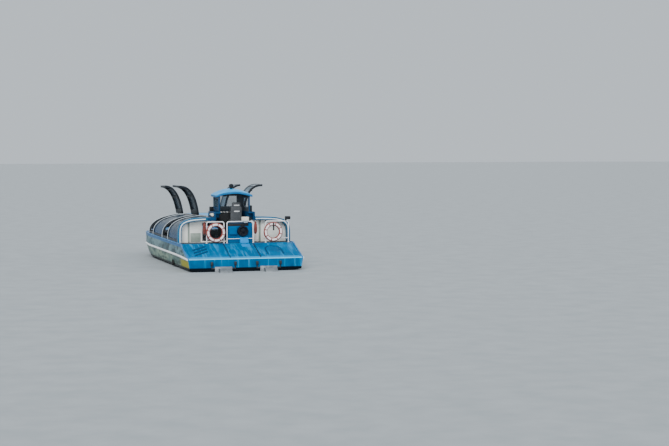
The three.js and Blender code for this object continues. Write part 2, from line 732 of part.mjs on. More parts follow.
// Throw bags: soft line bags lashed beside the rails
for (const [word, x] of [["port", -1190], ["starboard", 650]]) {
  const side = word === "port" ? -1 : 1;
  const centre = x + side * (railRadius + 70 + touchGap);
  const profile = [[0, 1180], [48, 1190], [70, 1250], [66, 1520], [42, 1650], [0, 1672]];
  place(`throw_bag_${word}`, solid(turned(profile, 16).translate(centre, railY, 0)), "lifeRed");
}
const railBox = { foot: railTopZ + railRadius + touchGap, height: 160 };
const boxBody = block([190, 460], [railY - 90, railY + 90], [railBox.foot, railBox.foot + railBox.height]);
place("rail_box", boxBody, "cream");

// Stern console: a blue locker under the centre hoop with a ramped front and a round air intake
function sternConsole() {
  const face = railY + 60;
  const z = railFootZ;
  const locker = block([-330, 630], [face, railY + 420], [z, 1600]);
  const leftBox = block([-300, 0], [railY - 25, face + 1], [z + 330, z + 640]);
  const ramp = [[yAt(1345), z], [face + 1, z], [face + 1, 1064], [yAt(1470), 1064]];
  const topTube = block([-400, 700], [railY - 24, railY + 24], [railTopZ - 40, railTopZ + 40]);
  const crossTube = block([-400, 700], [railY - 18, railY + 18], [990, 1030]);
  return cut(join(locker, leftBox, prismX(ramp, 110, 440)), topTube, crossTube);
}
place("stern_console", sternConsole(), "hullBlue");
function intakeCowl() {
  const centre = [235, 1300];
  const along = (from, to, radius, count) => {
    return rod([centre[0], railY + from, centre[1]], [centre[0], railY + to, centre[1]], radius, count);
  };
  const face = along(-90, 60 - touchGap, 215, 8);
  const bore = along(-120, -20, 160, 8);
  const hub = along(-70, 0, 60, 12);
  return join(cut(face, bore), hub);
}
place("intake_cowl", intakeCowl(), "black");

// Engine lids: three plates on the sloping deck, hinged at the forward edge
const lid = { start: 95, end: 1300, thick: 22 };
const lidPlates = [["port", -2110, -600], ["centre", -560, 580], ["starboard", 620, 2110]];
function lidPlate(x0, x1) {
  const [low, high] = [touchGap, touchGap + lid.thick];
  const outline = [[lid.start, low], [lid.end, low], [lid.end, high], [lid.start, high]];
  return prismX(outline.map(([t, rise]) => [yAt(t), slope(t) + rise]), x0, x1);
}
// A body on the sloping deck: its plan of [x, station] points, how high it starts and how thick it is
function onSlope(plan, raise, thick) {
  return loftUp([raise, raise + thick].map((rise) => plan.map(([x, t]) => [x, yAt(t), slope(t) + rise])));
}

// Slanting louvre blades on the port lid
function louvres() {
  const [pitch, chord] = [225, 88];
  const blades = [0, 1, 2].map((i) => {
    const [x0, t0, x1, t1] = [-1900, 240 + pitch * i, -1340, 580 + pitch * i];
    return onSlope([[x0, t0], [x1, t1], [x1, t1 + chord], [x0, t0 + chord]], lid.thick - 2, 26);
  });
  return join(...blades);
}

// A groove with a round head pressed into the starboard lid
function archPlan(half, foot, shoulder) {
  const middle = 1250;
  const head = Array.from({ length: 9 }, (_, i) => {
    const angle = (Math.PI * i) / 8;
    return [middle + half * Math.cos(angle), shoulder + half * Math.sin(angle)];
  });
  return [[middle - half, foot], [middle + half, foot], ...head];
}
function archGroove() {
  return cut(onSlope(archPlan(340, 300, 760), 12, 30), onSlope(archPlan(270, 290, 760), 5, 40));
}

for (const [word, x0, x1] of lidPlates) {
  let plate = lidPlate(x0, x1);
  if (word === "port") plate = join(plate, louvres());
  if (word === "starboard") plate = cut(plate, archGroove());
  place(`engine_lid_${word}`, plate, "hullBlue");
}

// Engines: one plain block in each well
for (const [word, side] of [["port", -1], ["starboard", 1]]) {
  const middle = side * 1000;
  const feetZ = engineWell.floorZ + touchGap;
  const engine = block([middle - 340, middle + 340], [yAt(300), yAt(1230)], [feetZ, 390]);
  place(`engine_${word}`, engine, "castAluminium");
}

// Jet units: a flanged housing, a steering nozzle and a reverse bucket
const nozzlePivotY = transomY - 210;
const bucket = { pivotY: transomY - 290, inner: 262, outer: 280, cheekX: 215, cheek: 16, arm: 25 };
function jetHousing(x) {
  const plate = block([x - 330, x + 330], [transomY - 30, transomY - touchGap], [jetZ - 150, 60]);
  const pipe = rod([x, transomY - 20, jetZ], [x, transomY - 150, jetZ], 160, 20);
  const ears = [-1, 1].map((side) => {
    const face = bucket.cheekX - touchGap;
    const spread = (low, high) => [x + side * low, x + side * high].sort((a, b) => a - b);
    return join(
      block(spread(150, face), [transomY - 120, transomY - 20], [jetZ - 60, jetZ + 60]),
      block(
        spread(face - bucket.arm, face),
        [bucket.pivotY - 40, transomY - 20],
        [jetZ - 45, jetZ + 45],
      ),
    );
  });
  const lugs = [-455, 455].map((offset) => join(
    block([x + offset - 45, x + offset + 45], [transomY - 70, transomY - touchGap], [120, 250]),
    block([x + offset - 20, x + offset + 20], [transomY - 26, transomY - touchGap], [-30, 125]),
    block(
      [Math.min(x, x + offset), Math.max(x, x + offset)],
      [transomY - 26, transomY - touchGap],
      [-30, 20],
    ),
  ));
  const yoke = [1, -1].map((way) => {
    const z = jetZ + way * 150;
    return block([x - 40, x + 40], [nozzlePivotY - 40, transomY - 100], [z - 8, z + 8]);
  });
  const outlet = rod([x, transomY - 170, jetZ], [x, transomY - 60, jetZ], 120, 20);
  return cut(join(plate, pipe, ...ears, ...lugs, ...yoke), outlet);
}
function jetNozzle(x) {
  const wall = solid(new THREE.CylinderGeometry(130, 100, 160, 20).translate(x, nozzlePivotY - 55, jetZ));
  const bore = solid(new THREE.CylinderGeometry(112, 82, 200, 20).translate(x, nozzlePivotY - 55, jetZ));
  const pins = [1, -1].map((way) =>
    rod([x, nozzlePivotY, jetZ + way * 108], [x, nozzlePivotY, jetZ + way * (150 - 8 - touchGap)], 26, 12));
  return join(cut(wall, bore), ...pins);
}
function reverseBucket(x) {
  const arc = (radius, from, to, count = 12) => Array.from({ length: count + 1 }, (_, i) => {
    const angle = degrees(from + ((to - from) * i) / count);
    return [bucket.pivotY + Math.cos(angle) * radius, jetZ + Math.sin(angle) * radius];
  });
  const scoop = prismX([...arc(bucket.outer, 60, 150), ...arc(bucket.inner, 150, 60)], x - 235, x + 235);
  const cheeks = [-1, 1].map((side) => {
    const reach = [bucket.cheekX, bucket.cheekX + bucket.cheek];
    const limits = reach.map((across) => x + side * across).sort((a, b) => a - b);
    const hub = arc(45, 180, 345, 8);
    return prismX([...arc(bucket.inner + 6, 66, 144), ...hub], limits[0], limits[1]);
  });
  return join(scoop, ...cheeks);
}
for (const [word, side] of [["port", -1], ["starboard", 1]]) {
  place(`jet_housing_${word}`, jetHousing(side * jetX), "castAluminium");
  place(`jet_nozzle_${word}`, jetNozzle(side * jetX), "castAluminium");
  place(`reverse_bucket_${word}`, reverseBucket(side * jetX), "castAluminium");
}

export default boat;
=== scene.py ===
import math

import bpy
from mathutils import Matrix, Vector


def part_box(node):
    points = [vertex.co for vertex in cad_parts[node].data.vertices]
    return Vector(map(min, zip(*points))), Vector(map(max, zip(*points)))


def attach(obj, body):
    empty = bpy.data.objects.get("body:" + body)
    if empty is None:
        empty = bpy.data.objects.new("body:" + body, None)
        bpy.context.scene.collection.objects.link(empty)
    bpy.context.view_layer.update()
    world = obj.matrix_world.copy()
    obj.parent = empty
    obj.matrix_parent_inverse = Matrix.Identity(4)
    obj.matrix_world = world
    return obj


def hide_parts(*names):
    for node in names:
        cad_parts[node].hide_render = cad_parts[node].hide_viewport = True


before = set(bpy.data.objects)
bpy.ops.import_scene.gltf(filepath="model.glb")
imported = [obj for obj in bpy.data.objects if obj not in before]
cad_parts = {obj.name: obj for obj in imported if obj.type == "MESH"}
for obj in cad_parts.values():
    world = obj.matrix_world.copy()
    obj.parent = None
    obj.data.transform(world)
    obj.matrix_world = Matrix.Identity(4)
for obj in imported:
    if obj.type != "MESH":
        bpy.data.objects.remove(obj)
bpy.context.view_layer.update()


# Camera
# A long lens 56 m astern and to port, 4.8 m over the water, looking 17 degrees to starboard of ahead.
PHOTO_WIDTH_PX = 669
FOCAL_PX = 1543
camera_data = bpy.data.cameras.new("photo_camera")
camera_data.sensor_width = 36
camera_data.lens = camera_data.sensor_width * FOCAL_PX / PHOTO_WIDTH_PX
camera_data.clip_end = 400
camera = bpy.data.objects.new("photo_camera", camera_data)
camera.location = (-13.78, -62.56, 4.83)
camera.rotation_euler = (math.radians(90 - 2.97), 0, math.radians(-17.0))
bpy.context.scene.collection.objects.link(camera)
bpy.context.scene.camera = camera


# Studio floor and light
# A pale matt floor at the waterline, a pale sky all round, and broad soft light from four sides.
def linear(hex_colour):
    """An sRGB hex colour as linear RGBA."""
    parts = [int(hex_colour[i:i + 2], 16) / 255 for i in (1, 3, 5)]
    return (*[c / 12.92 if c <= 0.04045 else ((c + 0.055) / 1.055) ** 2.4 for c in parts], 1.0)


def node(tree, kind, inputs=None, **settings):
    """Adds a shader node, sets its options, and sets or links its inputs."""
    made = tree.nodes.new(kind)
    for key, value in settings.items():
        setattr(made, key, value)
    for socket, value in (inputs or {}).items():
        if isinstance(value, bpy.types.NodeSocket):
            tree.links.new(value, made.inputs[socket])
        else:
            made.inputs[socket].default_value = value
    return made


def new_material(name):
    """An empty node material with its output, and its tree."""
    made = bpy.data.materials.new(name)
    made.use_nodes = True
    made.node_tree.nodes.clear()
    return made, made.node_tree


def close(tree, shader):
    """Joins a shader to the material's output."""
    node(tree, "ShaderNodeOutputMaterial", {"Surface": shader.outputs[0]})


def blended(tree, factor, first, second):
    """The mix of two colours by a factor, as a socket."""
    mix = node(tree, "ShaderNodeMix", {0: factor, 6: first, 7: second}, data_type="RGBA")
    return mix.outputs[2]


def noise(tree, vector, size_mm, detail=3.0, roughness=0.55):
    """A noise whose features are about size_mm across, as a socket."""
    inputs = {"Vector": vector, "Scale": 1000 / size_mm, "Detail": detail, "Roughness": roughness}
    return node(tree, "ShaderNodeTexNoise", inputs).outputs["Fac"]


def ramp(tree, value, low, high, to_low=0.0, to_high=1.0):
    """A value carried from one range to another, clamped, as a socket."""
    inputs = {"Value": value, "From Min": low, "From Max": high, "To Min": to_low, "To Max": to_high}
    return node(tree, "ShaderNodeMapRange", inputs).outputs[0]


def object_place(tree):
    """Object coordinates, as a socket."""
    return node(tree, "ShaderNodeTexCoord").outputs["Object"]


def bumped(tree, height, distance_mm, strength=1.0):
    """A bump from a height, as a normal socket."""
    inputs = {"Height": height, "Distance": distance_mm / 1000, "Strength": strength}
    return node(tree, "ShaderNodeBump", inputs).outputs["Normal"]


def floor_material():
    made, tree = new_material("matt_studio_floor")
    tone = noise(tree, object_place(tree), 900, 2)
    colour = blended(tree, ramp(tree, tone, 0.3, 0.7), linear("#8E9598"), linear("#989EA1"))
    shader = node(tree, "ShaderNodeBsdfPrincipled", {"Base Color": colour, "Roughness": 0.85})
    close(tree, shader)
    return made


bpy.ops.object.select_all(action="DESELECT")
bpy.ops.mesh.primitive_plane_add(size=600, location=(0, 0, 0))
floor = bpy.context.object
floor.name = "studio_floor"
floor.data.materials.append(floor_material())

world = bpy.data.worlds.new("pale_sky")
world.use_nodes = True
world.node_tree.nodes["Background"].inputs["Color"].default_value = linear("#D9E2EA")
world.node_tree.nodes["Background"].inputs["Strength"].default_value = 0.95
bpy.context.scene.world = world

LAMPS = [
    # name, where it stands, softness in degrees, strength, colour
    ("key_light", (-9, -14, 16), 35, 2.6, "#FFFFFF"),
    ("stern_light", (-8, -24, 7), 40, 1.1, "#FFFFFF"),
    ("fill_light", (14, -10, 12), 50, 0.8, "#F4F8FF"),
    ("bow_light", (4, 16, 14), 50, 0.8, "#F4F8FF"),
]
for lamp_name, place, softness, strength, tint in LAMPS:
    lamp_data = bpy.data.lights.new(lamp_name, "SUN")
    lamp_data.angle = math.radians(softness)
    lamp_data.energy = strength
    lamp_data.color = linear(tint)[:3]
    lamp = bpy.data.objects.new(lamp_name, lamp_data)
    lamp.location = place
    lamp.rotation_euler = (Vector((0, 0, 1)) - Vector(place)).to_track_quat("-Z", "Y").to_euler()
    bpy.context.scene.collection.objects.link(lamp)


# Hull
# Welded aluminium plate, filled and sprayed blue, with printed film on the topsides, dark antifouling on
# the bottom and a dark band just over the waterline. The film is a plain mottle of its own greens and greys.
# Every piece is drawn from the part's own datum, which lies a little over the water, and keep() raises it.
DATUM_M = 0.13
# Height over the datum below which the hull's colours are darkened.
DARK_BAND_TOP_M = 0.02


def only(piece):
    """Selects one piece and makes it active."""
    bpy.ops.object.select_all(action="DESELECT")
    piece.select_set(True)
    bpy.context.view_layer.objects.active = piece


def frame_copy(node_name, name):
    """A copy of a frame node as one welded mesh, ready to be dressed."""
    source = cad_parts[node_name]
    piece = source.copy()
    piece.data = source.data.copy()
    piece.parent = None
    piece.name = name
    for key in list(piece.keys()):
        del piece[key]
    bpy.context.scene.collection.objects.link(piece)
    piece.data.materials.clear()
    only(piece)
    bpy.ops.object.mode_set(mode="EDIT")
    bpy.ops.mesh.select_all(action="SELECT")
    bpy.ops.mesh.remove_doubles(threshold=0.00002)
    bpy.ops.mesh.dissolve_limited(angle_limit=math.radians(0.4))
    bpy.ops.object.mode_set(mode="OBJECT")
    piece.data.transform(Matrix.Translation((0, 0, -DATUM_M)))
    return piece


def apply_modifier(piece, kind, name, **settings):
    """Adds a modifier, sets it and applies it."""
    modifier = piece.modifiers.new(name, kind)
    for key, value in settings.items():
        setattr(modifier, key, value)
    only(piece)
    bpy.ops.object.modifier_apply(modifier=name)


def soften(piece, width, segments=2, angle=30):
    """Rounds a piece's edges and shades it smooth between them."""
    apply_modifier(piece, "BEVEL", "edge_round", width=width, segments=segments,
                   limit_method="ANGLE", angle_limit=math.radians(angle))
    smooth(piece)


def smooth(piece, angle=35):
    """Shades a piece smooth across edges flatter than an angle."""
    only(piece)
    bpy.ops.object.shade_smooth_by_angle(angle=math.radians(angle))


def keep(piece, body, slot, *nodes):
    """Raises a finished piece to float, files it under its body and hides the nodes it stands for. The slot
    argument is not used.
    """
    piece.data.transform(Matrix.Translation((0, 0, DATUM_M)))
    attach(piece, body)
    if nodes:
        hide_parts(*nodes)


def dress_faces(piece, materials, choose):
    """Gives each face the material that choose(face) names."""
    names = list(materials)
    for material in materials.values():
        piece.data.materials.append(material)
    for face in piece.data.polygons:
        face.material_index = names.index(choose(face))


def bisected(piece, planes):
    """Cuts a piece's faces along planes, each a point and a normal, so that finishes can meet there."""
    only(piece)
    for place, normal in planes:
        bpy.ops.object.mode_set(mode="EDIT")
        bpy.ops.mesh.select_all(action="SELECT")
        bpy.ops.mesh.bisect(plane_co=place, plane_no=normal)
        bpy.ops.object.mode_set(mode="OBJECT")


def axis_parts(tree):
    """Object X, Y and the height over the datum, as sockets."""
    parts = node(tree, "ShaderNodeSeparateXYZ", {0: object_place(tree)})
    height = node(tree, "ShaderNodeMath", {0: parts.outputs[2], 1: DATUM_M}, operation="SUBTRACT")
    return parts.outputs[0], parts.outputs[1], height.outputs[0]


def drawn_box(node_name):
    """A node's box as two corners, its heights over the datum."""
    low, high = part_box(node_name)
    return low - Vector((0, 0, DATUM_M)), high - Vector((0, 0, DATUM_M))


def dark_waterline_band(tree, colour, height):
    """Darkens a colour below a line just over the waterline."""
    below = ramp(tree, height, DARK_BAND_TOP_M + 0.012, DARK_BAND_TOP_M - 0.012)
    return blended(tree, below, colour, linear("#10161C"))


def blue_paint():
    """Two-pack paint on plate: faint orange peel and dulled patches, with painted highlight streaks and a
    painted highlight along the stern's top edge.
    """
    made, tree = new_material("blue_two_pack_paint")
    place = object_place(tree)
    _, along, height = axis_parts(tree)
    patches = ramp(tree, noise(tree, place, 700, 4), 0.35, 0.7)
    # Cyan streaks mixed into the colour are painted highlights.
    highlight_streak_map = node(tree, "ShaderNodeMapping", {"Vector": place, "Scale": (9, 1.2, 0.6)}).outputs[0]
    highlight_streaks = ramp(tree, noise(tree, highlight_streak_map, 1000, 4), 0.5, 0.7)
    colour = blended(tree, patches, linear("#004E7A"), linear("#006798"))
    colour = blended(tree, ramp(tree, highlight_streaks, 0, 1, 0, 0.42), colour, linear("#2BA8DE"))
    # A pale cyan band along the stern's top edge is a painted highlight.
    lip_highlight_zone = {0: ramp(tree, along, -5.93, -6.06, 0, 0.7), 1: ramp(tree, height, 0.325, 0.345)}
    painted_lip_highlight = node(tree, "ShaderNodeMath", lip_highlight_zone, operation="MULTIPLY").outputs[0]
    colour = blended(tree, painted_lip_highlight, colour, linear("#4DBDEE"))
    colour = dark_waterline_band(tree, colour, height)
    rough = ramp(tree, patches, 0, 1, 0.26, 0.42)
    peel = bumped(tree, noise(tree, place, 14, 2), 0.6, 0.35)
    shader = node(tree, "ShaderNodeBsdfPrincipled", {
        "Base Color": colour, "Roughness": rough, "Normal": peel,
        "Specular IOR Level": 0.015})
    close(tree, shader)
    return made


def side_film(name, ground, mottle, leaf, with_band):
    """Printed vinyl film: satin, with a soft generic mottle; blue paint shows along the gunwale."""
    made, tree = new_material(name)
    place = object_place(tree)
    parts = axis_parts(tree)
    long_map = node(tree, "ShaderNodeMapping", {"Vector": place, "Scale": (1, 0.45, 1)}).outputs[0]
    broad = ramp(tree, noise(tree, long_map, 420, 2), 0.42, 0.58)
    fine = ramp(tree, noise(tree, long_map, 190, 3), 0.5, 0.6)
    colour = blended(tree, broad, linear(ground), linear(mottle))
    colour = blended(tree, ramp(tree, fine, 0, 1, 0, 0.85), colour, linear(leaf))
    aft = ramp(tree, parts[1], -4.5, -4.8)
    corner = ramp(tree, parts[2], 0.31, 0.25)
    patch = node(tree, "ShaderNodeMath", {0: aft, 1: corner}, operation="MULTIPLY").outputs[0]
    colour = blended(tree, patch, colour, linear("#97922A"))
    if with_band:
        slope_m = node(tree, "ShaderNodeMath", {0: parts[1], 1: 0.0045, 2: 0.752}, operation="MULTIPLY_ADD")
        over = node(tree, "ShaderNodeMath", {0: parts[2], 1: slope_m.outputs[0]}, operation="SUBTRACT")
        band = ramp(tree, over.outputs[0], -0.006, 0.006)
        colour = blended(tree, band, colour, linear("#1F5F92"))
    colour = dark_waterline_band(tree, colour, parts[2])
    grime = bumped(tree, noise(tree, place, 60, 3), 0.8, 0.3)
    shader = node(tree, "ShaderNodeBsdfPrincipled", {
        "Base Color": colour, "Roughness": 0.42, "Normal": grime, "Specular IOR Level": 0.2})
    close(tree, shader)
    return made


def plain_finish(name, light, dark, patch_mm, grain_mm, bump_mm, rough=(0.4, 0.55), **sockets):
    """A finish of two near colours in soft patches with a fine grain; sockets set the shader."""
    made, tree = new_material(name)
    place = object_place(tree)
    patches = ramp(tree, noise(tree, place, patch_mm, 4), 0.35, 0.68)
    colour = blended(tree, patches, linear(light), linear(dark))
    grain = noise(tree, place, grain_mm, 2)
    inputs = {"Base Color": colour, "Roughness": ramp(tree, patches, 0, 1, *rough),
              "Normal": bumped(tree, grain, bump_mm, 0.5)}
    for key, value in sockets.items():
        inputs[key.replace("_", " ").title().replace("Ior", "IOR")] = value
    close(tree, node(tree, "ShaderNodeBsdfPrincipled", inputs))
    return made


# Antifouling: matt, soft and thick, with roller stipple.
antifouling = plain_finish("black_antifouling", "#151B21", "#232A31", 400, 12, 0.8, (0.6, 0.75))
# Decks: matt non-slip paint with a coarse grit, scuffed paler where people step.
deck_grip = plain_finish("dark_non_slip_deck_paint", "#3C464E", "#2A333A", 260, 5, 1.2, (0.8, 0.92))
# Cabin lining: moulded grey liner panels, satin.
liner = plain_finish("grey_cabin_liner", "#8B9297", "#777F85", 500, 8, 0.3, (0.5, 0.65))
hull_paint = blue_paint()
hull_films = {
    "upper": side_film("printed_film_upper", "#3C5A60", "#68868B", "#1D333A", True),
    "lower": side_film("printed_film_lower", "#5A736D", "#8BA08B", "#31453F", False),
}


# The exhaust's Y, height and radius, the aft end of the side decks, and the rub rail's rise forward.
EXHAUST = (-3.13, 0.045, 0.0845)
AFT_DECK_END = -3.93
TRANSOM_Y = -6.1
RUB_HEIGHT_M, RUB_RISE = 0.37, 0.006
TOPSIDE_X = 2.1
CABIN_WELL = {"half_width": 2.09, "ends": (-3.95, 3.7), "heights": (0.1, 0.83)}
ENGINE_WELLS = {"half_width": 2.15, "ends": (-5.98, -3.95)}


def hull_face(face):
    """Which finish a face of the hull has, from where it is and where it points."""
    centre, normal = face.center, face.normal
    rub_height = RUB_HEIGHT_M + RUB_RISE * max(0.0, centre.y - TRANSOM_Y)
    if TOPSIDE_X < abs(centre.x) and math.hypot(centre.y - EXHAUST[0], centre.z - EXHAUST[1]) < EXHAUST[2]:
        return "bottom"
    outboard = centre.x * normal.x > 0.5
    (aft, fore), (floor_z, rim_z) = CABIN_WELL["ends"], CABIN_WELL["heights"]
    if (abs(centre.x) < CABIN_WELL["half_width"] and aft < centre.y < fore
            and floor_z < centre.z < rim_z and not outboard):
        return "liner"
    if centre.z < -0.02 and normal.z < -0.3:
        return "bottom"
    # The aft deck's dark non-slip paint also stands for the shade line at the deck's aft edge.
    if normal.z > 0.97 and centre.z > 0.8 and centre.y < AFT_DECK_END:
        return "deck"
    aft, fore = ENGINE_WELLS["ends"]
    if abs(centre.x) < ENGINE_WELLS["half_width"] and aft < centre.y < fore and normal.z < 0.9:
        return "liner"
    if abs(normal.z) > 0.72 or normal.y < -0.8:
        return "blue"
    return "upper" if centre.z > rub_height else "lower"


hull = frame_copy("hull_shell", "hull")
bisected(hull, [((0, AFT_DECK_END, 0), (0, 1, 0))])
hull_finishes = {"blue": hull_paint, "bottom": antifouling, "liner": liner, "deck": deck_grip, **hull_films}
dress_faces(hull, hull_finishes, hull_face)
soften(hull, 0.012, 2, 25)
keep(hull, "hull", "hull_paint", "hull_shell")


# Gunwales and rub rails
# A half-round blue capping on the deck edge, and a white rubber fender strip along the topsides.
HULL_SECTIONS = [
    # station from the transom, rub line height, deck edge half width, deck edge height
    (0.0, 0.338, 2.235, 0.345), (1.4, 0.374, 2.24, 0.845), (2.12, 0.384, 2.24, 0.845),
    (3.0, 0.387, 2.24, 0.848), (5.35, 0.39, 2.24, 0.853), (8.0, 0.4, 2.235, 0.875),
    (9.3, 0.412, 2.15, 0.885), (10.35, 0.44, 1.8, 0.9), (11.3, 0.5, 1.25, 0.9),
    (11.9, 0.6, 0.66, 0.92), (12.2, 0.76, 0.165, 0.94),
]


def spread(low, high, count):
    """Evenly spaced values from low to high, both ends in."""
    return [low + (high - low) * i / (count - 1) for i in range(count)]


def tube(name, points, radius, rounds=4, cyclic=False):
    """A bent tube through points as a mesh."""
    curve = bpy.data.curves.new(name, "CURVE")
    curve.dimensions = "3D"
    curve.bevel_depth = radius
    curve.bevel_resolution = rounds
    curve.use_fill_caps = True
    spline = curve.splines.new("POLY")
    spline.points.add(len(points) - 1)
    for point, place in zip(spline.points, points):
        point.co = (*place, 1)
    spline.use_cyclic_u = cyclic
    piece = bpy.data.objects.new(name, curve)
    bpy.context.scene.collection.objects.link(piece)
    only(piece)
    bpy.ops.object.convert(target="MESH")
    piece = bpy.context.object
    smooth(piece, 50)
    return piece


def round_corners(corners, bend, steps=6):
    """Points of a path whose corners are bent to a radius."""
    points = [Vector(corners[0])]
    for before, corner, after in zip(corners, corners[1:], corners[2:]):
        before, corner, after = Vector(before), Vector(corner), Vector(after)
        enter = corner + (before - corner).normalized() * bend
        leave = corner + (after - corner).normalized() * bend
        for i in range(steps + 1):
            s = i / steps
            points.append(enter * (1 - s) ** 2 + corner * (2 * s * (1 - s)) + leave * s ** 2)
    points.append(Vector(corners[-1]))
    return points


def joined(pieces, name):
    """Several meshes as one piece."""
    bpy.ops.object.select_all(action="DESELECT")
    for piece in pieces:
        piece.select_set(True)
    bpy.context.view_layer.objects.active = pieces[0]
    bpy.ops.object.join()
    pieces[0].name = name
    return pieces[0]


# White ethylene rubber: matt, scuffed grey where it rubs piers.
fender_rubber = plain_finish("white_fender_rubber", "#F4F6F6", "#DDE2E3", 160, 6, 0.5, (0.45, 0.6))
# The capping's lighter blue catches the sky along the deck edge.
capping_paint = plain_finish("blue_capping_paint", "#2572A8", "#195C90", 300, 10, 0.3, (0.3, 0.45),
                             specular_ior_level=0.15)
# The transom's edge strip is painted pale cyan, a painted highlight along the stern's top edge.
stern_edge_highlight_paint = plain_finish("painted_highlight_edge_paint", "#7AD4F8", "#4CB9EA", 500, 10, 0.3, (0.3, 0.45),
                                specular_ior_level=0.3)
for word, side in (("port", -1), ("starboard", 1)):
    edge = [(side * (x - 0.012), TRANSOM_Y + t, z - 0.004) for t, _, x, z in HULL_SECTIONS]
    capping = tube(f"gunwale_capping_{word}", edge[:-1], 0.03)
    capping.data.materials.append(capping_paint)
    keep(capping, "hull", "hull_paint")
    rail = frame_copy(f"rub_rail_{word}", f"fender_strip_{word}")
    rail.data.materials.append(fender_rubber)
    soften(rail, 0.008, 2, 20)
    keep(rail, "hull", "rub_strip", f"rub_rail_{word}")
# A rounded strip on the transom's top edge that carries the painted highlight.
stern_line = [(x, TRANSOM_Y + 0.014, 0.34) for x in spread(-2.2, 2.2, 12)]
stern_edge_highlight = tube("transom_edge_highlight_strip", stern_line, 0.02)
stern_edge_highlight.data.materials.append(stern_edge_highlight_paint)
keep(stern_edge_highlight, "hull", "hull_paint")


# Exhaust collars
# Two moulded rubber rings round each dry exhaust in the topsides, soot black.
soot_rubber = plain_finish("sooty_exhaust_rubber", "#0C0D0E", "#17191B", 60, 4, 0.5, (0.7, 0.85))
for word, side in (("port", -1), ("starboard", 1)):
    rings = []
    for x, reach in ((2.2, 0.092), (2.228, 0.086)):
        turns = [2 * math.pi * i / 40 for i in range(40)]
        circle = [(side * x, EXHAUST[0] + math.cos(a) * reach, EXHAUST[1] + math.sin(a) * reach)
                  for a in turns]
        rings.append(tube("ring", circle, 0.02, 3, True))
    collar = joined(rings, f"exhaust_collar_{word}")
    collar.data.materials.append(soot_rubber)
    keep(collar, "hull", "black_plastic")


# Canopy surface
# The canopy's curve is drawn once here: half width, crown height and squareness at each station.
# Across runs from -1 at the port sill over 0 at the crown to 1 at the starboard sill.
CANOPY_SECTIONS = [
    # station, half width, crown height, squareness
    (1.85, 2.205, 1.81, 5.8), (2.15, 2.205, 1.809, 5.3), (4.2, 2.195, 1.805, 3.15),
    (5.35, 2.19, 1.78, 2.9), (7.45, 2.175, 1.735, 2.7), (8.65, 2.135, 1.7, 2.55),
    (9.3, 2.01, 1.57, 2.35), (9.9, 1.73, 1.335, 2.25), (10.35, 1.38, 1.145, 2.2),
]
RULED_STATIONS = sorted({row[0] for row in HULL_SECTIONS + CANOPY_SECTIONS})
SILL_GAP_M = 0.0003


def between(rows, column, station):
    """A column of a table, read between its stations."""
    for low, high in zip(rows, rows[1:]):
        if station <= high[0]:
            break
    share = (station - low[0]) / (high[0] - low[0])
    return low[column] + share * (high[column] - low[column])


def section_point(station, across, outer):
    """A point of the canopy's section at one of the tables' own stations."""
    half = between(CANOPY_SECTIONS, 1, station)
    sill = between(HULL_SECTIONS, 3, station) + SILL_GAP_M
    rise = between(CANOPY_SECTIONS, 2, station) - sill
    power = between(CANOPY_SECTIONS, 3, station)

    def curve(place):
        angle = (1 - abs(place)) * math.pi / 2
        c, s = abs(math.cos(angle)), abs(math.sin(angle))
        reach = (c ** power + s ** power) ** (-1 / power)
        return math.copysign(half * c * reach, place), sill + rise * s * reach

    x, z = curve(across)
    xa, za = curve(max(across - 0.004, -1))
    xb, zb = curve(min(across + 0.004, 1))
    run = math.hypot(xb - xa, zb - za)
    return Vector((x - outer * (zb - za) / run, TRANSOM_Y + station, z + outer * (xb - xa) / run))


def canopy_point(station, across, outer):
    """A point on the canopy, an outward distance off its surface."""
    after = min(t for t in RULED_STATIONS if t >= station - 1e-9)
    before = max(t for t in RULED_STATIONS if t <= station + 1e-9)
    if after - before < 1e-6:
        return section_point(after, across, outer)
    share = (station - before) / (after - before)
    return section_point(before, across, outer).lerp(section_point(after, across, outer), share)


def canopy_sheet(name, stations, places, outer, depth, is_open=None):
    """A curved plate of the canopy: a grid laid on its surface, opened where asked, then thickened."""
    inner = [t for t in RULED_STATIONS if stations[0] < t < stations[-1]]
    stations = sorted({round(t, 5) for t in list(stations) + inner})
    bpy.ops.object.select_all(action="DESELECT")
    bpy.ops.mesh.primitive_grid_add(x_subdivisions=len(places) - 1, y_subdivisions=len(stations) - 1, size=2)
    piece = bpy.context.object
    piece.name = name
    columns, rows = len(places) - 1, len(stations) - 1
    index = {v.index: (round((v.co.x + 1) / 2 * columns), round((v.co.y + 1) / 2 * rows))
             for v in piece.data.vertices}
    if is_open:
        only(piece)
        bpy.ops.object.mode_set(mode="EDIT")
        bpy.ops.mesh.select_mode(type="FACE")
        bpy.ops.mesh.select_all(action="DESELECT")
        bpy.ops.object.mode_set(mode="OBJECT")
        for face in piece.data.polygons:
            i = min(index[v][0] for v in face.vertices)
            j = min(index[v][1] for v in face.vertices)
            middle = (stations[j] + stations[j + 1]) / 2, (places[i] + places[i + 1]) / 2
            face.select = is_open(*middle)
    for v in piece.data.vertices:
        i, j = index[v.index]
        v.co = canopy_point(stations[j], places[i], outer)
    if is_open:
        bpy.ops.object.mode_set(mode="EDIT")
        bpy.ops.mesh.delete(type="FACE")
        bpy.ops.object.mode_set(mode="OBJECT")
    apply_modifier(piece, "SOLIDIFY", "plate", thickness=depth, offset=-1, use_even_offset=True)
    return piece


def canopy_strip(name, station, places, outer, radius):
    """A round trim strip along the canopy's curve at one station."""
    return tube(name, [canopy_point(station, place, outer) for place in places], radius, 2)


def sided(side, low, high):
    """A span across on one side, in rising order."""
    return sorted((side * low, side * high))


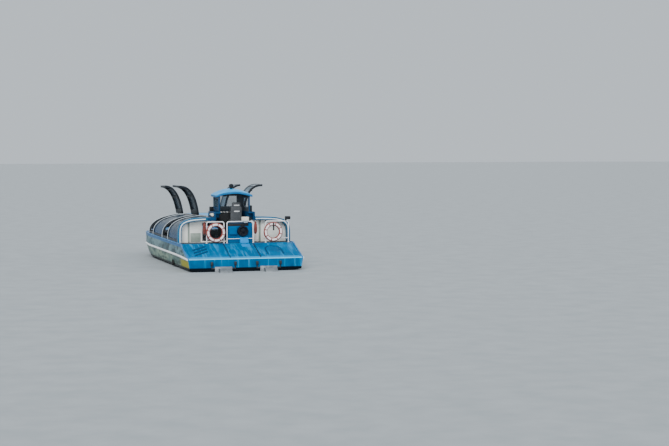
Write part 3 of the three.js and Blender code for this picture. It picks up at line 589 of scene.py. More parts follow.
# Stern arch
# A deep pressed hoop at the canopy's aft end, its two legs running into the pilothouse's coaming:
# dark teal paint, with a white moulding inside.
arch_paint = plain_finish("teal_arch_paint", "#14506E", "#21688E", 400, 12, 0.4, (0.3, 0.45),
                          specular_ior_level=0.15)
edge_white = plain_finish("white_edge_moulding", "#ECEFEF", "#D8DDDE", 200, 8, 0.3, (0.35, 0.5))
for word, low, high in (("port", -0.985, -0.307), ("starboard", 0.231, 0.985)):
    arch = frame_copy(f"stern_arch_{word}", f"stern_arch_leg_{word}")
    arch.data.materials.append(arch_paint)
    soften(arch, 0.018, 3, 25)
    keep(arch, "hull", "arch_paint", f"stern_arch_{word}")
    arch_edge = canopy_strip(f"arch_moulding_{word}", 1.86, spread(low, high, 60), -0.05, 0.024)
    arch_edge.data.materials.append(edge_white)
    keep(arch_edge, "hull", "white_paint")


# Canopy frame
# Welded aluminium ribs, sills and hinge beams, powder coated black, with pale trims at the doors.
frame_coat = plain_finish("black_powder_coat", "#14181D", "#232930", 350, 5, 0.25, (0.35, 0.5))
pale_trim = plain_finish("pale_door_trim", "#C9D3DA", "#AEBAC3", 300, 6, 0.2, (0.3, 0.45))
ribs = frame_copy("canopy_frame", "canopy_ribs")
ribs.data.materials.append(frame_coat)
soften(ribs, 0.006, 2, 25)
keep(ribs, "hull", "black_frame", "canopy_frame")
DOOR_SPANS = {"aft": (4.22, 5.33), "forward": (7.55, 8.62)}
trims = []
for word, side in (("port", -1), ("starboard", 1)):
    for start, end in DOOR_SPANS.values():
        for station in (start - 0.055, end + 0.06):
            places = [side * p for p in spread(0.25, 0.985, 40)]
            trims.append(canopy_strip("door_trim", station, places, 0.004, 0.011))
door_trims = joined(trims, "door_opening_trims")
door_trims.data.materials.append(pale_trim)
keep(door_trims, "hull", "white_paint")


# Roof spine
# The solid roof panel between the doors' hinge lines, in the pilothouse roof's sky blue.
sky_paint = plain_finish("sky_blue_gloss_paint", "#36A4DE", "#2391CD", 600, 14, 0.5, (0.25, 0.4),
                         specular_ior_level=0.03)
spine = canopy_sheet("roof_spine_panel", spread(3.321, 8.619, 8), spread(-0.1795, 0.1795, 21), -0.008, 0.04)
spine.data.materials.append(sky_paint)
soften(spine, 0.006)
keep(spine, "hull", "roof_paint", "roof_spine")


# Fixed panes and windscreen
# Curved acrylic sheets in rubber seals: smoke-blue tint, glossy, bluer towards the sill.
def tinted_acrylic(name, upper, lower, alpha, fade=(1.5, 0.95)):
    """See-through sheet whose tint changes between two heights, with a faint salt haze."""
    made, tree = new_material(name)
    place = object_place(tree)
    height = axis_parts(tree)[2]
    low = ramp(tree, height, *fade)
    colour = blended(tree, low, linear(upper), linear(lower))
    haze = ramp(tree, noise(tree, place, 500, 3), 0.35, 0.7)
    colour = blended(tree, ramp(tree, haze, 0, 1, 0, 0.15), colour, linear("#7E909C"))
    shader = node(tree, "ShaderNodeBsdfPrincipled", {
        "Base Color": colour, "Roughness": ramp(tree, haze, 0, 1, 0.22, 0.34),
        "Specular IOR Level": 0.06, "Alpha": alpha,
        "Normal": bumped(tree, noise(tree, place, 600, 1), 1.0, 0.2)})
    close(tree, shader)
    return made


canopy_acrylic = tinted_acrylic("smoke_blue_acrylic", "#2E3D4B", "#1C456E", 0.84)
seal_rubber = plain_finish("black_seal_rubber", "#101215", "#1B1E22", 120, 4, 0.3, (0.55, 0.7))
PANE_SPANS = {"quarter": (2.1113, 4.0997), "middle": (5.4503, 7.4297)}
PANE_ACROSS = (0.2416, 0.9234)
PANE_INSET, PANE_DEPTH = -0.025, 0.012
for pane, (start, end) in PANE_SPANS.items():
    for word, side in (("port", -1), ("starboard", 1)):
        low, high = sided(side, *PANE_ACROSS)
        sheet = canopy_sheet(f"{pane}_light_{word}", spread(start, end, 6), spread(low, high, 33),
                             PANE_INSET, PANE_DEPTH)
        sheet.data.materials.append(canopy_acrylic)
        soften(sheet, 0.002)
        keep(sheet, "hull", "canopy_glazing", f"{pane}_pane_{word}")
        corners = [canopy_point(t, p, -0.018) for t, p in
                   [(start, p) for p in spread(low, high, 30)] + [(t, high) for t in spread(start, end, 8)]
                   + [(end, p) for p in spread(high, low, 30)] + [(t, low) for t in spread(end, start, 8)]]
        seal = tube(f"{pane}_seal_{word}", corners, 0.009, 2, True)
        seal.data.materials.append(seal_rubber)
        keep(seal, "hull", "black_frame")

SCREEN_EDGE = 0.87
windscreen = canopy_sheet("windscreen_sheet", spread(8.7403, 10.2297, 12),
                          spread(-SCREEN_EDGE, SCREEN_EDGE, 61), PANE_INSET, PANE_DEPTH)
windscreen.data.materials.append(canopy_acrylic)
soften(windscreen, 0.002)
keep(windscreen, "hull", "canopy_glazing", "windscreen")
mullions = []
for across in (-0.36, 0.36):
    line = [canopy_point(t, across, -0.012) for t in spread(8.7, 10.28, 24)]
    mullions.append(tube("windscreen_mullion", line, 0.022, 3))
seal_round = [(8.742, p) for p in spread(-SCREEN_EDGE, SCREEN_EDGE, 50)]
seal_round += [(t, SCREEN_EDGE) for t in spread(8.8, 10.2, 10)]
seal_round += [(10.228, p) for p in spread(SCREEN_EDGE, -SCREEN_EDGE, 50)]
seal_round += [(t, -SCREEN_EDGE) for t in spread(10.2, 8.8, 10)]
mullions.append(tube("windscreen_seal", [canopy_point(t, p, -0.02) for t, p in seal_round], 0.011, 2, True))
windscreen_bars = joined(mullions, "windscreen_bars")
windscreen_bars.data.materials.append(frame_coat)
keep(windscreen_bars, "hull", "black_frame")


# Gull-wing doors
# Each is an aluminium rim with two cross bars round a dark acrylic sheet, hung on two barrel hinges
# and shown open: drawn shut on the canopy's curve, then swung up about its hinge line.
HINGE_ACROSS = 0.2565
DOOR_OPEN = {"port": 87, "starboard": 89}
DOOR_DEPTH = 0.08
DOOR_EDGES = (0.273, 0.918)
DOOR_LIGHT = (0.323, 0.868)
DOOR_STILE = 0.075
BAR_HALF = 0.009
# One smoke acrylic painted in two lightings: darker on the port doors as painted shade, paler on the
# starboard doors and palest low down as a painted sky reflection.
door_acrylic_by_painted_light = {
    "port": tinted_acrylic("smoke_acrylic_in_painted_shade", "#2B3843", "#232F3A", 0.96),
    "starboard": tinted_acrylic("smoke_acrylic_painted_sky_reflection", "#4C5E6A", "#7C95A5", 0.88, (2.86, 2.7)),
}
door_coat = plain_finish("black_door_coat", "#0E1216", "#1C232A", 250, 5, 0.25, (0.4, 0.55),
                         specular_ior_level=0.25)


def swing(piece, start, end, word, side):
    """Turns a piece from the shut door's place to the open one's."""
    hinge = canopy_point((start + end) / 2, side * HINGE_ACROSS, -0.011)
    turn = Matrix.Rotation(-side * math.radians(DOOR_OPEN[word]), 4, "Y")
    piece.data.transform(Matrix.Translation(hinge) @ turn @ Matrix.Translation(-hinge))


def hinge_barrels(start, end, side):
    """The door's two hinge barrels with their leaves."""
    parts = []
    hinge = canopy_point((start + end) / 2, side * HINGE_ACROSS, -0.011)
    for station in (start + 0.17, end - 0.17):
        bpy.ops.object.select_all(action="DESELECT")
        bpy.ops.mesh.primitive_cylinder_add(
            vertices=24, radius=0.014, depth=0.06, rotation=(math.pi / 2, 0, 0),
            location=(hinge.x, TRANSOM_Y + station, hinge.z))
        barrel = bpy.context.object
        bpy.ops.object.transform_apply(location=True, rotation=True, scale=True)
        parts.append(barrel)
        low, high = sided(side, HINGE_ACROSS, 0.293)
        parts.append(canopy_sheet("leaf", [station - 0.03, station + 0.03], spread(low, high, 4),
                                  -0.005, 0.012))
    return parts


def door_rim(start, end, side):
    """The door's rim and cross bars as one open plate, with its hinges and latch."""
    a, b = start + 0.009, end - 0.009
    low, high = DOOR_LIGHT
    edges = [DOOR_EDGES[0], low] + spread(low, high, 31)[1:-1] + [high, DOOR_EDGES[1]]
    bars = [low + 0.545 * k / 3 for k in (1, 2)]
    stations = [a, a + DOOR_STILE, b - DOOR_STILE, b]
    places = sorted({round(e, 5) for e in edges + [bar + d for bar in bars for d in (-BAR_HALF, BAR_HALF)]})

    def is_glass(station, across):
        """Whether a place on the door lies in one of its three lights."""
        return (a + DOOR_STILE < station < b - DOOR_STILE and low < abs(across) < high
                and all(abs(abs(across) - bar) > BAR_HALF for bar in bars))

    rim = canopy_sheet("door_rim", stations, sorted(side * p for p in places), 0, DOOR_DEPTH, is_glass)
    grip = DOOR_DEPTH + 0.03
    latch_line = [canopy_point(t, side * 0.6, -grip) for t in spread(a + 0.015, a + 0.06, 6)]
    ends = [canopy_point(t, side * 0.6, 0.002 - DOOR_DEPTH) for t in (a + 0.015, a + 0.06)]
    latch = tube("latch", [ends[0]] + latch_line + [ends[1]], 0.011, 3)
    return joined([rim, latch] + hinge_barrels(start, end, side), "door_rim")


for where, (start, end) in DOOR_SPANS.items():
    for word, side in (("port", -1), ("starboard", 1)):
        door = f"door_{where}_{word}"
        rim = door_rim(start, end, side)
        rim.name = f"{door}_rim"
        rim.data.materials.append(door_coat)
        soften(rim, 0.004)
        low, high = sided(side, 0.3246, 0.8664)
        glass = canopy_sheet(f"{door}_glass", [start + 0.0843, end - 0.0843], spread(low, high, 31),
                             -0.014, 0.01)
        glass.data.materials.append(door_acrylic_by_painted_light[word])
        soften(glass, 0.002)
        for piece in (rim, glass):
            swing(piece, start, end, word, side)
        keep(rim, door, "black_frame", f"{door}_frame")
        keep(glass, door, "door_glazing", f"{door}_pane")


# Aft bulkhead
# A white moulded wall across the cabin's aft end, open in the doorway to port and at the helm, with
# grey-green posts and a raised panel on each side.
bulkhead_gelcoat = plain_finish("white_bulkhead_gelcoat", "#F0F0E8", "#DEDFD8", 350, 10, 0.3, (0.3, 0.45),
                                coat_weight=0.3)
post_paint = plain_finish("grey_green_post_paint", "#8F9A90", "#79857C", 200, 8, 0.3, (0.4, 0.55))
bulkhead = frame_copy("aft_bulkhead", "aft_bulkhead_wall")
bulkhead.data.materials.append(bulkhead_gelcoat)
soften(bulkhead, 0.01, 2, 25)
keep(bulkhead, "hull", "white_paint", "aft_bulkhead")


def plate(name, low, high, width=0.01, segments=2):
    """A plate or case between two corners with softened edges."""
    low, high = Vector(low), Vector(high)
    bpy.ops.object.select_all(action="DESELECT")
    bpy.ops.mesh.primitive_cube_add(size=1, location=(low + high) / 2, scale=high - low)
    piece = bpy.context.object
    piece.name = name
    bpy.ops.object.transform_apply(location=True, rotation=True, scale=True)
    soften(piece, width, segments)
    return piece


def at(station):
    """The row's Y of a distance forward of the transom."""
    return TRANSOM_Y + station


posts = [
    plate("post", (-1.80, at(2.085), 0.85), (-1.735, at(2.119), 1.66), 0.012),
    plate("post", (1.02, at(2.095), 0.85), (1.10, at(2.119), 1.7), 0.01),
    plate("panel", (-1.70, at(2.103), 0.87), (-1.29, at(2.119), 1.22), 0.012),
    plate("panel", (1.16, at(2.103), 0.95), (1.86, at(2.119), 1.58), 0.012),
]
door_posts = joined(posts[:3], "bulkhead_posts")
door_posts.data.materials.append(post_paint)
keep(door_posts, "hull", "white_paint")
wall_panels = joined(posts[3:], "bulkhead_panels")
wall_panels.data.materials.append(bulkhead_gelcoat)
keep(wall_panels, "hull", "white_paint")


# Benches
# Rows of moulded seats, three to a side, on a welded plinth, each with a foam cushion and back in
# dark woven cloth.
seat_cloth = plain_finish("woven_seat_cloth", "#3C4148", "#2E3238", 120, 3, 0.8, (0.8, 0.9), sheen_weight=0.3)
plinth_paint = plain_finish("grey_plinth_paint", "#7D8388", "#6C7277", 300, 7, 0.3, (0.45, 0.6))
BENCH_ROWS = [3.65 + 0.85 * i for i in range(6)]
SEAT_CENTRES = [0.6, 1.09, 1.58]
PLINTH_SIDES, SHELL_SIDES = (0.58, 1.5), (0.36, 1.83)


def pad(name, centre, size, lean=0.0, crown=0.25):
    """A crowned cushion: a subdivided block whose sides pull in, leant back about X."""
    bpy.ops.object.select_all(action="DESELECT")
    bpy.ops.mesh.primitive_cube_add(size=1, location=(0, 0, 0), scale=size)
    piece = bpy.context.object
    bpy.ops.object.transform_apply(location=True, rotation=True, scale=True)
    bpy.ops.object.mode_set(mode="EDIT")
    bpy.ops.mesh.select_all(action="SELECT")
    bpy.ops.mesh.subdivide(number_cuts=3)
    bpy.ops.object.mode_set(mode="OBJECT")
    half = [d / 2 for d in size]
    thin = half.index(min(half))
    for v in piece.data.vertices:
        shares = [abs(v.co[k]) / half[k] for k in range(3) if k != thin]
        swell = (1 - shares[0] ** 2) * (1 - shares[1] ** 2)
        v.co[thin] *= 1 - crown * (1 - swell)
    apply_modifier(piece, "SUBSURF", "soft", levels=1, render_levels=1)
    piece.data.transform(Matrix.Translation(Vector(centre)) @ Matrix.Rotation(lean, 4, "X"))
    piece.name = name
    smooth(piece, 60)
    return piece


def seat_pads(x, station, floor_z):
    """One seat's cushion and back."""
    cushion = pad("cushion", (x, at(station + 0.23), floor_z + 0.29), (0.455, 0.46, 0.1))
    back = pad("back", (x, at(station - 0.035), floor_z + 0.6), (0.455, 0.1, 0.5), math.radians(7))
    return [cushion, back]


for word, side in (("port", -1), ("starboard", 1)):
    pads = []
    for row in BENCH_ROWS:
        for x in SEAT_CENTRES:
            pads += seat_pads(side * x, row, 0.12)
    cushions = joined(pads, f"bench_cushions_{word}")
    cushions.data.materials.append(seat_cloth)
    keep(cushions, "hull", "seat_cloth", f"bench_bank_{word}")
    low, high = sided(side, *PLINTH_SIDES)
    frames = [plate("plinth", (low, at(3.61), 0.121), (high, at(8.28), 0.34), 0.01)]
    low, high = sided(side, *SHELL_SIDES)
    for row in BENCH_ROWS:
        frames.append(plate("pan", (low, at(row), 0.34), (high, at(row + 0.44), 0.365), 0.008))
        frames.append(plate("shell", (low, at(row - 0.12), 0.36), (high, at(row - 0.09), 0.95), 0.01))
    bench_frames = joined(frames, f"bench_frames_{word}")
    bench_frames.data.materials.append(plinth_paint)
    keep(bench_frames, "hull", "deck_grey")


# Helm platform and console
# A raised non-slip step with the helm console on it: a black moulded case with round gauges and
# two throttle levers.
platform = frame_copy("helm_platform", "helm_step")
platform.data.materials.append(deck_grip)
soften(platform, 0.012)
keep(platform, "hull", "deck_grey", "helm_platform")
dash_plastic = plain_finish("black_moulded_dash", "#17191C", "#22262A", 150, 3, 0.4, (0.5, 0.65))
console = frame_copy("helm_console", "helm_binnacle")
console.data.materials.append(dash_plastic)
soften(console, 0.018, 3)
keep(console, "hull", "black_plastic", "helm_console")


def disc(name, centre, radius, depth, facing=(0, -1, 0), edge=0.003):
    """A round case or boss facing a direction, with a softened rim."""
    bpy.ops.object.select_all(action="DESELECT")
    bpy.ops.mesh.primitive_cylinder_add(vertices=32, radius=radius, depth=depth)
    piece = bpy.context.object
    turn = Vector((0, 0, 1)).rotation_difference(Vector(facing)).to_matrix().to_4x4()
    piece.data.transform(Matrix.Translation(Vector(centre)) @ turn)
    piece.name = name
    soften(piece, edge)
    return piece


gauge_face = plain_finish("white_gauge_faces", "#E6E6E2", "#D2D3CF", 40, 2, 0.1, (0.2, 0.3))
dash_normal = Vector((0, -0.486, 0.874)).normalized()
gauges = []
for x in (-0.3, -0.18, -0.06, 0.06, 0.18, 0.3):
    gauges.append(disc("gauge", (x, at(2.86), 1.98), 0.045, 0.02, dash_normal))
gauge_set = joined(gauges, "helm_gauges")
gauge_set.data.materials.append(gauge_face)
keep(gauge_set, "hull", "cream_plastic")
levers = []
for x in (0.28, 0.34):
    levers.append(tube("lever", [(x, at(3.0), 2.0), (x, at(2.96), 2.13)], 0.008, 3))
    levers.append(disc("grip", (x, at(2.955), 2.14), 0.02, 0.045, (1, 0, 0), 0.008))
throttles = joined(levers, "throttle_levers")
throttles.data.materials.append(dash_plastic)
keep(throttles, "hull", "black_plastic")


# Steering wheel
# A three-spoke wheel: steel core under a black moulded rim, turning on the console's boss.
WHEEL_CENTRE = Vector((0.16, at(2.7), 1.96))
bpy.ops.object.select_all(action="DESELECT")
bpy.ops.mesh.primitive_torus_add(major_radius=0.175, minor_radius=0.0155, major_segments=64,
                                 minor_segments=14, location=WHEEL_CENTRE, rotation=(math.pi / 2, 0, 0))
wheel_rim = bpy.context.object
bpy.ops.object.transform_apply(location=True, rotation=True, scale=True)
smooth(wheel_rim, 60)
wheel_parts = [wheel_rim, disc("hub", WHEEL_CENTRE, 0.046, 0.043, (0, -1, 0), 0.008)]
for angle in (90, 210, 330):
    tip = Vector((math.cos(math.radians(angle)), 0, math.sin(math.radians(angle)))) * 0.17
    wheel_parts.append(tube("spoke", [WHEEL_CENTRE + tip * 0.15, WHEEL_CENTRE + tip], 0.011, 3))
steering = joined(wheel_parts, "steering_wheel_rim")
steering.data.materials.append(dash_plastic)
keep(steering, "wheel", "black_plastic", "steering_wheel")


# Helm seat
# A high-backed sprung seat in grey vinyl with two pale bars across its back, on a round pedestal.
helm_vinyl = plain_finish("grey_seat_vinyl", "#4A4D50", "#3C3F42", 160, 4, 0.5, (0.45, 0.6))
pale_vinyl = plain_finish("pale_seat_bars", "#D9DADB", "#C4C6C8", 80, 4, 0.3, (0.4, 0.55))
SEAT_X = 0.16
seat_parts = [
    pad("squab", (SEAT_X, at(2.49), 1.5), (0.47, 0.42, 0.13)),
    pad("backrest", (SEAT_X, at(2.305), 1.87), (0.46, 0.13, 0.72), math.radians(4)),
    pad("headrest", (SEAT_X, at(2.275), 2.29), (0.34, 0.1, 0.19), math.radians(4)),
]
for side in (-1, 1):
    seat_parts.append(pad("armrest", (SEAT_X + side * 0.21, at(2.5), 1.68), (0.05, 0.3, 0.05)))
helm_seat = joined(seat_parts, "helm_seat_cushions")
helm_seat.data.materials.append(helm_vinyl)
keep(helm_seat, "hull", "helm_vinyl", "helm_seat")
bars = [plate("bar", (0.06, at(2.206), z), (0.28, at(2.24), z + 0.05), 0.012, 3) for z in (2.005, 2.24)]
seat_bars = joined(bars, "helm_seat_bars")
seat_bars.data.materials.append(pale_vinyl)
keep(seat_bars, "hull", "helm_vinyl")
UP = (0, 0, 1)
stem_parts = [disc("foot", (SEAT_X, at(2.48), 1.013), 0.17, 0.024, UP, 0.006),
              disc("post", (SEAT_X, at(2.48), 1.22), 0.06, 0.42, UP, 0.004)]
pedestal = joined(stem_parts, "helm_seat_pedestal")
pedestal.data.materials.append(frame_coat)
keep(pedestal, "hull", "black_plastic")


# Pilothouse
# A plywood and aluminium wheelhouse on a flared blue coaming: deep blue posts, flat panes on three
# sides, an open back, and a cambered roof with a dark lip.
house_paint = plain_finish("deep_blue_house_paint", "#0C3F66", "#083353", 400, 12, 0.4, (0.3, 0.45),
                           specular_ior_level=0.12)
coaming = frame_copy("pilothouse_base", "pilothouse_coaming")
coaming.data.materials.append(house_paint)
soften(coaming, 0.015, 3, 20)
keep(coaming, "hull", "hull_paint", "pilothouse_base")
house_lining = plain_finish("grey_house_lining", "#4A555D", "#3E4850", 300, 8, 0.3, (0.5, 0.65))
house = frame_copy("pilothouse_frame", "pilothouse_posts")
house_middle = Vector((0, at(2.52), 2.3))


def house_face(face):
    """The house's lining where a face looks inwards, its paint elsewhere."""
    inwards = (house_middle - face.center).dot(face.normal)
    return "lining" if inwards > 0.2 and abs(face.normal.z) < 0.5 else "paint"


dress_faces(house, {"paint": house_paint, "lining": house_lining}, house_face)
soften(house, 0.012, 2, 20)
keep(house, "hull", "pilothouse_paint", "pilothouse_frame")
clear_acrylic = tinted_acrylic("clear_house_acrylic", "#3C5C70", "#35566A", 0.3)
for word in ("pane_port", "pane_starboard", "windscreen"):
    pane = frame_copy(f"pilothouse_{word}", f"pilothouse_light_{word}")
    pane.data.materials.append(clear_acrylic)
    soften(pane, 0.002)
    keep(pane, "hull", "canopy_glazing", f"pilothouse_{word}")
roof = frame_copy("pilothouse_roof", "pilothouse_roof_shell")
dress_faces(roof, {"top": sky_paint, "lip": capping_paint},
            lambda face: "top" if face.normal.z > 0.3 else "lip")
soften(roof, 0.02, 3, 30)
keep(roof, "hull", "roof_paint", "pilothouse_roof")


# Lamps, boxes and horn
# Weatherproof black cases and a cream horn: moulded plastic, a little chalked by the sun.
case_plastic = plain_finish("black_case_plastic", "#0B0E12", "#161B20", 120, 4, 0.4, (0.45, 0.6),
                             specular_ior_level=0.25)
cream_plastic = plain_finish("cream_horn_plastic", "#E2DECF", "#CFC9B6", 100, 5, 0.2, (0.3, 0.45))
FITTINGS = [
    # node, name, finish, slot, edge radius
    ("roof_lamp", "roof_search_lamp", case_plastic, "black_plastic", 0.008),
    ("side_box_port", "speaker_port", case_plastic, "black_plastic", 0.015),
    ("side_box_starboard", "speaker_starboard", case_plastic, "black_plastic", 0.015),
    ("horn", "deck_horn", cream_plastic, "cream_plastic", 0.02),
    ("rail_lamp", "rail_work_lamp", case_plastic, "black_plastic", 0.008),
    ("rail_box", "rail_locker", cream_plastic, "cream_plastic", 0.02),
]
for node_name, name, finish, slot, edge in FITTINGS:
    fitting = frame_copy(node_name, name)
    fitting.data.materials.append(finish)
    soften(fitting, edge, 3)
    keep(fitting, "hull", slot, node_name)


# Stern rails
# Bent steel tube hoops, white nylon coated, stepped on the deck with a lower cross bar each.
rail_nylon = plain_finish("white_nylon_coated_tube", "#F4F6F8", "#E2E5E9", 140, 5, 0.15, (0.25, 0.4))
RAIL_Y = at(1.5)
RAIL_TOP = 1.67
RAIL_FOOT = drawn_box("stern_rail_port")[0].z
RAIL_HOOPS = {"port": (-1.19, -0.51), "centre": (-0.39, 0.65), "starboard": (1.15, 2.06)}
for word, (left, right) in RAIL_HOOPS.items():
    corners = [(x, RAIL_Y, z) for x, z in
               ((left, RAIL_FOOT), (left, RAIL_TOP), (right, RAIL_TOP), (right, RAIL_FOOT))]
    parts = [tube("hoop", round_corners(corners, 0.09), 0.019, 4),
             tube("cross", [(left, RAIL_Y, 1.01), (right, RAIL_Y, 1.01)], 0.012, 3)]
    parts += [disc("foot", (x, RAIL_Y, RAIL_FOOT + 0.006), 0.04, 0.012, UP) for x in (left, right)]
    hoop = joined(parts, f"stern_hoop_{word}")
    hoop.data.materials.append(rail_nylon)
    keep(hoop, "hull", "rail_tube", f"stern_rail_{word}")


# Lifebuoys
# Hard polyethylene rings, dark red with white bands, with a white grab rope looped round the rim,
# and a black strap hung inside the starboard one.
ring_plastic = plain_finish("dark_red_polyethylene", "#8E3A30", "#6E2A25", 120, 5, 0.3, (0.4, 0.55))
band_tape = plain_finish("white_reflective_tape", "#F3EDEC", "#E2D3D1", 60, 3, 0.2, (0.3, 0.45))
rope_nylon = plain_finish("white_grab_rope", "#E4DFD4", "#C9C2B4", 30, 6, 1.5, (0.75, 0.9))
RING_MIDDLE, RING_TUBE = 0.305, 0.0755
for word in ("port", "starboard"):
    low, high = drawn_box(f"lifebuoy_{word}")
    centre = (low + high) / 2
    bpy.ops.object.select_all(action="DESELECT")
    bpy.ops.mesh.primitive_torus_add(major_radius=RING_MIDDLE, minor_radius=RING_TUBE, major_segments=96,
                                     minor_segments=24, location=centre, rotation=(math.pi / 2, 0, 0))
    ring = bpy.context.object
    ring.name = f"lifebuoy_ring_{word}"
    bpy.ops.object.transform_apply(location=True, rotation=True, scale=True)

    def ring_face(face):
        """White on the eight bands and red between them; red along both rims too, partly the ring's own red
        and partly painted shade.
        """
        across = face.center - centre
        reach = math.hypot(across.x, across.z)
        angle = math.degrees(math.atan2(across.z, across.x)) + 360
        # Red on both rims stands for the shade on the ring's inner and outer edges.
        on_rim_shade = abs(reach - RING_MIDDLE) > 0.6 * RING_TUBE
        return "ring" if on_rim_shade or (angle + 20) % 45 < 9 else "band"

    dress_faces(ring, {"ring": ring_plastic, "band": band_tape}, ring_face)
    smooth(ring, 80)
    keep(ring, "hull", "lifebuoy_red", f"lifebuoy_{word}")
    loop = []
    for i in range(120):
        turn = 2 * math.pi * i / 120
        slack = 1 - abs(math.cos(2 * turn))
        reach = RING_MIDDLE + RING_TUBE - 0.004 - 0.03 * slack
        loop.append(centre + Vector((math.cos(turn) * reach, -0.05 * slack, math.sin(turn) * reach)))
    rope = tube(f"lifebuoy_rope_{word}", loop, 0.006, 2, True)
    rope.data.materials.append(rope_nylon)
    keep(rope, "hull", "bag_cloth")
ring_strap = plate("lifebuoy_strap", (1.39, at(1.318), 1.32), (1.45, at(1.33), 1.62), 0.004)
ring_strap.data.materials.append(case_plastic)
keep(ring_strap, "hull", "black_plastic")


# Throw bags
# Soft nylon bags of floating line, drawn in at the neck and sagging a little on the rail.
bag_nylon = plain_finish("orange_bag_nylon", "#752A1C", "#4E1B13", 90, 3, 1.0, (0.7, 0.85), sheen_weight=0.3)
for word in ("port", "starboard"):
    low, high = drawn_box(f"throw_bag_{word}")
    centre = (low + high) / 2
    half_width, half_height = (high.x - low.x) / 2, (high.z - low.z) / 2
    bpy.ops.object.select_all(action="DESELECT")
    bpy.ops.mesh.primitive_uv_sphere_add(segments=40, ring_count=28, radius=1, location=(0, 0, 0))
    bag = bpy.context.object
    for v in bag.data.vertices:
        height = v.co.z
        turn = math.atan2(v.co.y, v.co.x)
        bulge = (1 - abs(height) ** 5) ** 0.5
        neck = 1 - 0.35 * math.exp(-((height - 0.76) / 0.1) ** 2)
        crease = 1 - 0.05 * (1 + math.cos(6 * turn + 3 * height))
        belly = 0.88 + 0.12 * math.cos(math.pi * (height + 0.25))
        width = (half_width + 0.006) * bulge * neck * crease * belly
        v.co = Vector((math.cos(turn) * width, math.sin(turn) * width, height * half_height)) + centre
    bag.name = f"throw_bag_{word}_cloth"
    bag.data.materials.append(bag_nylon)
    smooth(bag, 80)
    keep(bag, "hull", "bag_cloth", f"throw_bag_{word}")


# Stern console and intake
# A blue locker under the centre hoop with a raised panel, and a round black engine-room air intake
# with vanes behind its ring.
locker_paint = plain_finish("deep_blue_locker_paint", "#04507E", "#0A6092", 240, 10, 0.3,
                            (0.3, 0.45), specular_ior_level=0.015)
bright_paint = plain_finish("bright_blue_panel_paint", "#007CBC", "#0888CA", 240, 10, 0.3,
                            (0.3, 0.45), specular_ior_level=0.015)
locker = frame_copy("stern_console", "stern_locker")


def locker_face(face):
    """Black across the locker's head, bright on its ramp, deep blue elsewhere."""
    x, z = face.center.x, face.center.z
    if z > 1.49 and x < 0.48 and face.normal.z < 0.5:
        return "head"
    return "bright" if 0.1 < x < 0.45 and z < 1.07 else "locker"


bisected(locker, [((0, 0, 1.49), (0, 0, 1)), ((0.48, 0, 0), (1, 0, 0))])
dress_faces(locker, {"locker": locker_paint, "bright": bright_paint, "head": case_plastic}, locker_face)
soften(locker, 0.008, 2, 40)
keep(locker, "hull", "hull_paint", "stern_console")
intake_paint = plain_finish("dark_navy_intake_paint", "#060C15", "#0B1522", 120, 5, 0.3, (0.45, 0.6),
                            specular_ior_level=0.2)
cowl = frame_copy("intake_cowl", "intake_ring")
cowl.data.materials.append(intake_paint)
soften(cowl, 0.012, 3)
keep(cowl, "hull", "black_plastic", "intake_cowl")
vanes = []
for i in range(10):
    turn = math.radians(36 * i)
    hub = Vector((0.235, RAIL_Y - 0.045, 1.3))
    along = Vector((math.cos(turn), 0, math.sin(turn)))
    vanes.append(tube("vane", [hub + along * 0.05, hub + along * 0.165 + Vector((0, 0.02, 0))], 0.006, 2))
intake_vanes = joined(vanes, "intake_vanes")
intake_vanes.data.materials.append(frame_coat)
keep(intake_vanes, "hull", "black_plastic")


# Engine lids
# Three plates over the engine bays in the sloping deck, hinged forward, with slanting louvres to
# port and an arched groove to starboard, and black rubber gaskets between them that also stand for the shade
# in the gaps.
# The louvres and the arched groove are painted dark blue, a painted shade.
louvre_shade_paint = plain_finish("louvre_and_groove_painted_shade", "#06395C", "#0A466C", 100, 6, 0.3, (0.5, 0.65),
                            specular_ior_level=0.03)


SLOPE_FOOT, SLOPE_RISE, SLOPE_RUN = 0.345, 0.5, 1.4
RAMP_SIDES = (0.1, 0.44)


def over_slope(point):
    """How high a point stands over the sloping deck."""
    return point.z - SLOPE_FOOT - (point.y - TRANSOM_Y) * SLOPE_RISE / SLOPE_RUN


def lid_face(face):
    """Painted shade on the louvres and in the groove, bright where the console's ramp runs on, blue
    elsewhere.
    """
    height = over_slope(face.center)
    x, station = face.center.x, face.center.y - TRANSOM_Y
    if height > 0.03 or (0.004 < height < 0.0175 and face.normal.z > 0.8 and 0.85 < x < 1.65):
        return "dark"
    on_ramp = RAMP_SIDES[0] < x < RAMP_SIDES[1] and station > 1.0 and face.normal.z > 0.8
    return "bright" if on_ramp else "blue"


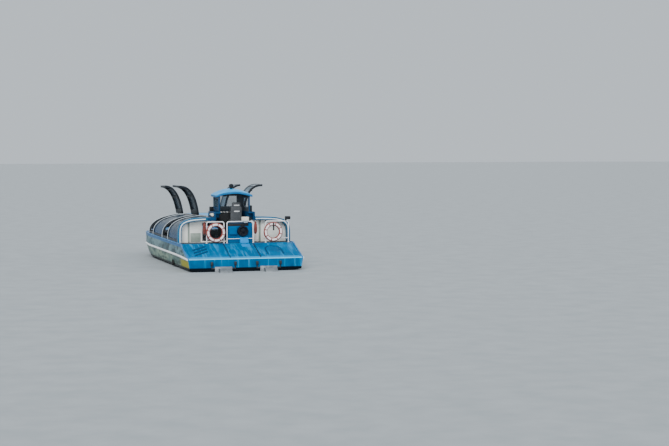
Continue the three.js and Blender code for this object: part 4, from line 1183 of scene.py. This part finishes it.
for word in ("port", "centre", "starboard"):
    lid = frame_copy(f"engine_lid_{word}", f"engine_cover_{word}")
    if word == "centre":
        bisected(lid, [((x, 0, 0), (1, 0, 0)) for x in RAMP_SIDES] + [((0, at(1.0), 0), (0, 1, 0))])
    dress_faces(lid, {"blue": hull_paint, "dark": louvre_shade_paint, "bright": bright_paint}, lid_face)
    soften(lid, 0.004, 2, 40)
    keep(lid, f"lid_{word}", "hull_paint", f"engine_lid_{word}")
# Black rubber gaskets laid in the gaps between the lids, which also stand for the shade in those gaps.
gaskets = []
for x in (-0.58, 0.6):
    line = [(x, at(t), SLOPE_FOOT + t * SLOPE_RISE / SLOPE_RUN + 0.006) for t in spread(0.1, 1.34, 8)]
    gaskets.append(tube("gasket", line, 0.013, 2))
lid_gaskets_and_gap_shade = joined(gaskets, "engine_lid_gaskets_and_gap_shade")
lid_gaskets_and_gap_shade.data.materials.append(seal_rubber)
keep(lid_gaskets_and_gap_shade, "hull", "black_plastic")


# Engines
# Two marine diesels, each a plain block in grey enamel, seen only with the lids up.
engine_enamel = plain_finish("grey_engine_enamel", "#6B7074", "#54585B", 200, 8, 0.5, (0.4, 0.6),
                             metallic=0.2)
for word in ("port", "starboard"):
    engine = frame_copy(f"engine_{word}", f"engine_block_{word}")
    engine.data.materials.append(engine_enamel)
    soften(engine, 0.03, 3)
    keep(engine, "hull", "engine_iron", f"engine_{word}")


# Jet units
# Cast aluminium housings, steering nozzles and reverse buckets, greyed by salt water.
cast_metal = plain_finish("salt_greyed_cast_aluminium", "#8B9094", "#6F7579", 180, 6, 0.9, (0.45, 0.65),
                          metallic=0.85)
JET_X = 0.875
for word in ("port", "starboard"):
    for node_name, name, body in (
        ("jet_housing", "jet_casing", "hull"),
        ("jet_nozzle", "steering_nozzle", f"nozzle_{word}"),
        ("reverse_bucket", "reverse_scoop", f"bucket_{word}"),
    ):
        part = frame_copy(f"{node_name}_{word}", f"{name}_{word}")
        middle = -JET_X if word == "port" else JET_X
        dress_faces(part, {"cast": cast_metal, "lug": frame_coat},
                    lambda face: "lug" if abs(face.center.x - middle) > 0.4 else "cast")
        soften(part, 0.005, 2)
        keep(part, body, "cast_aluminium", f"{node_name}_{word}")
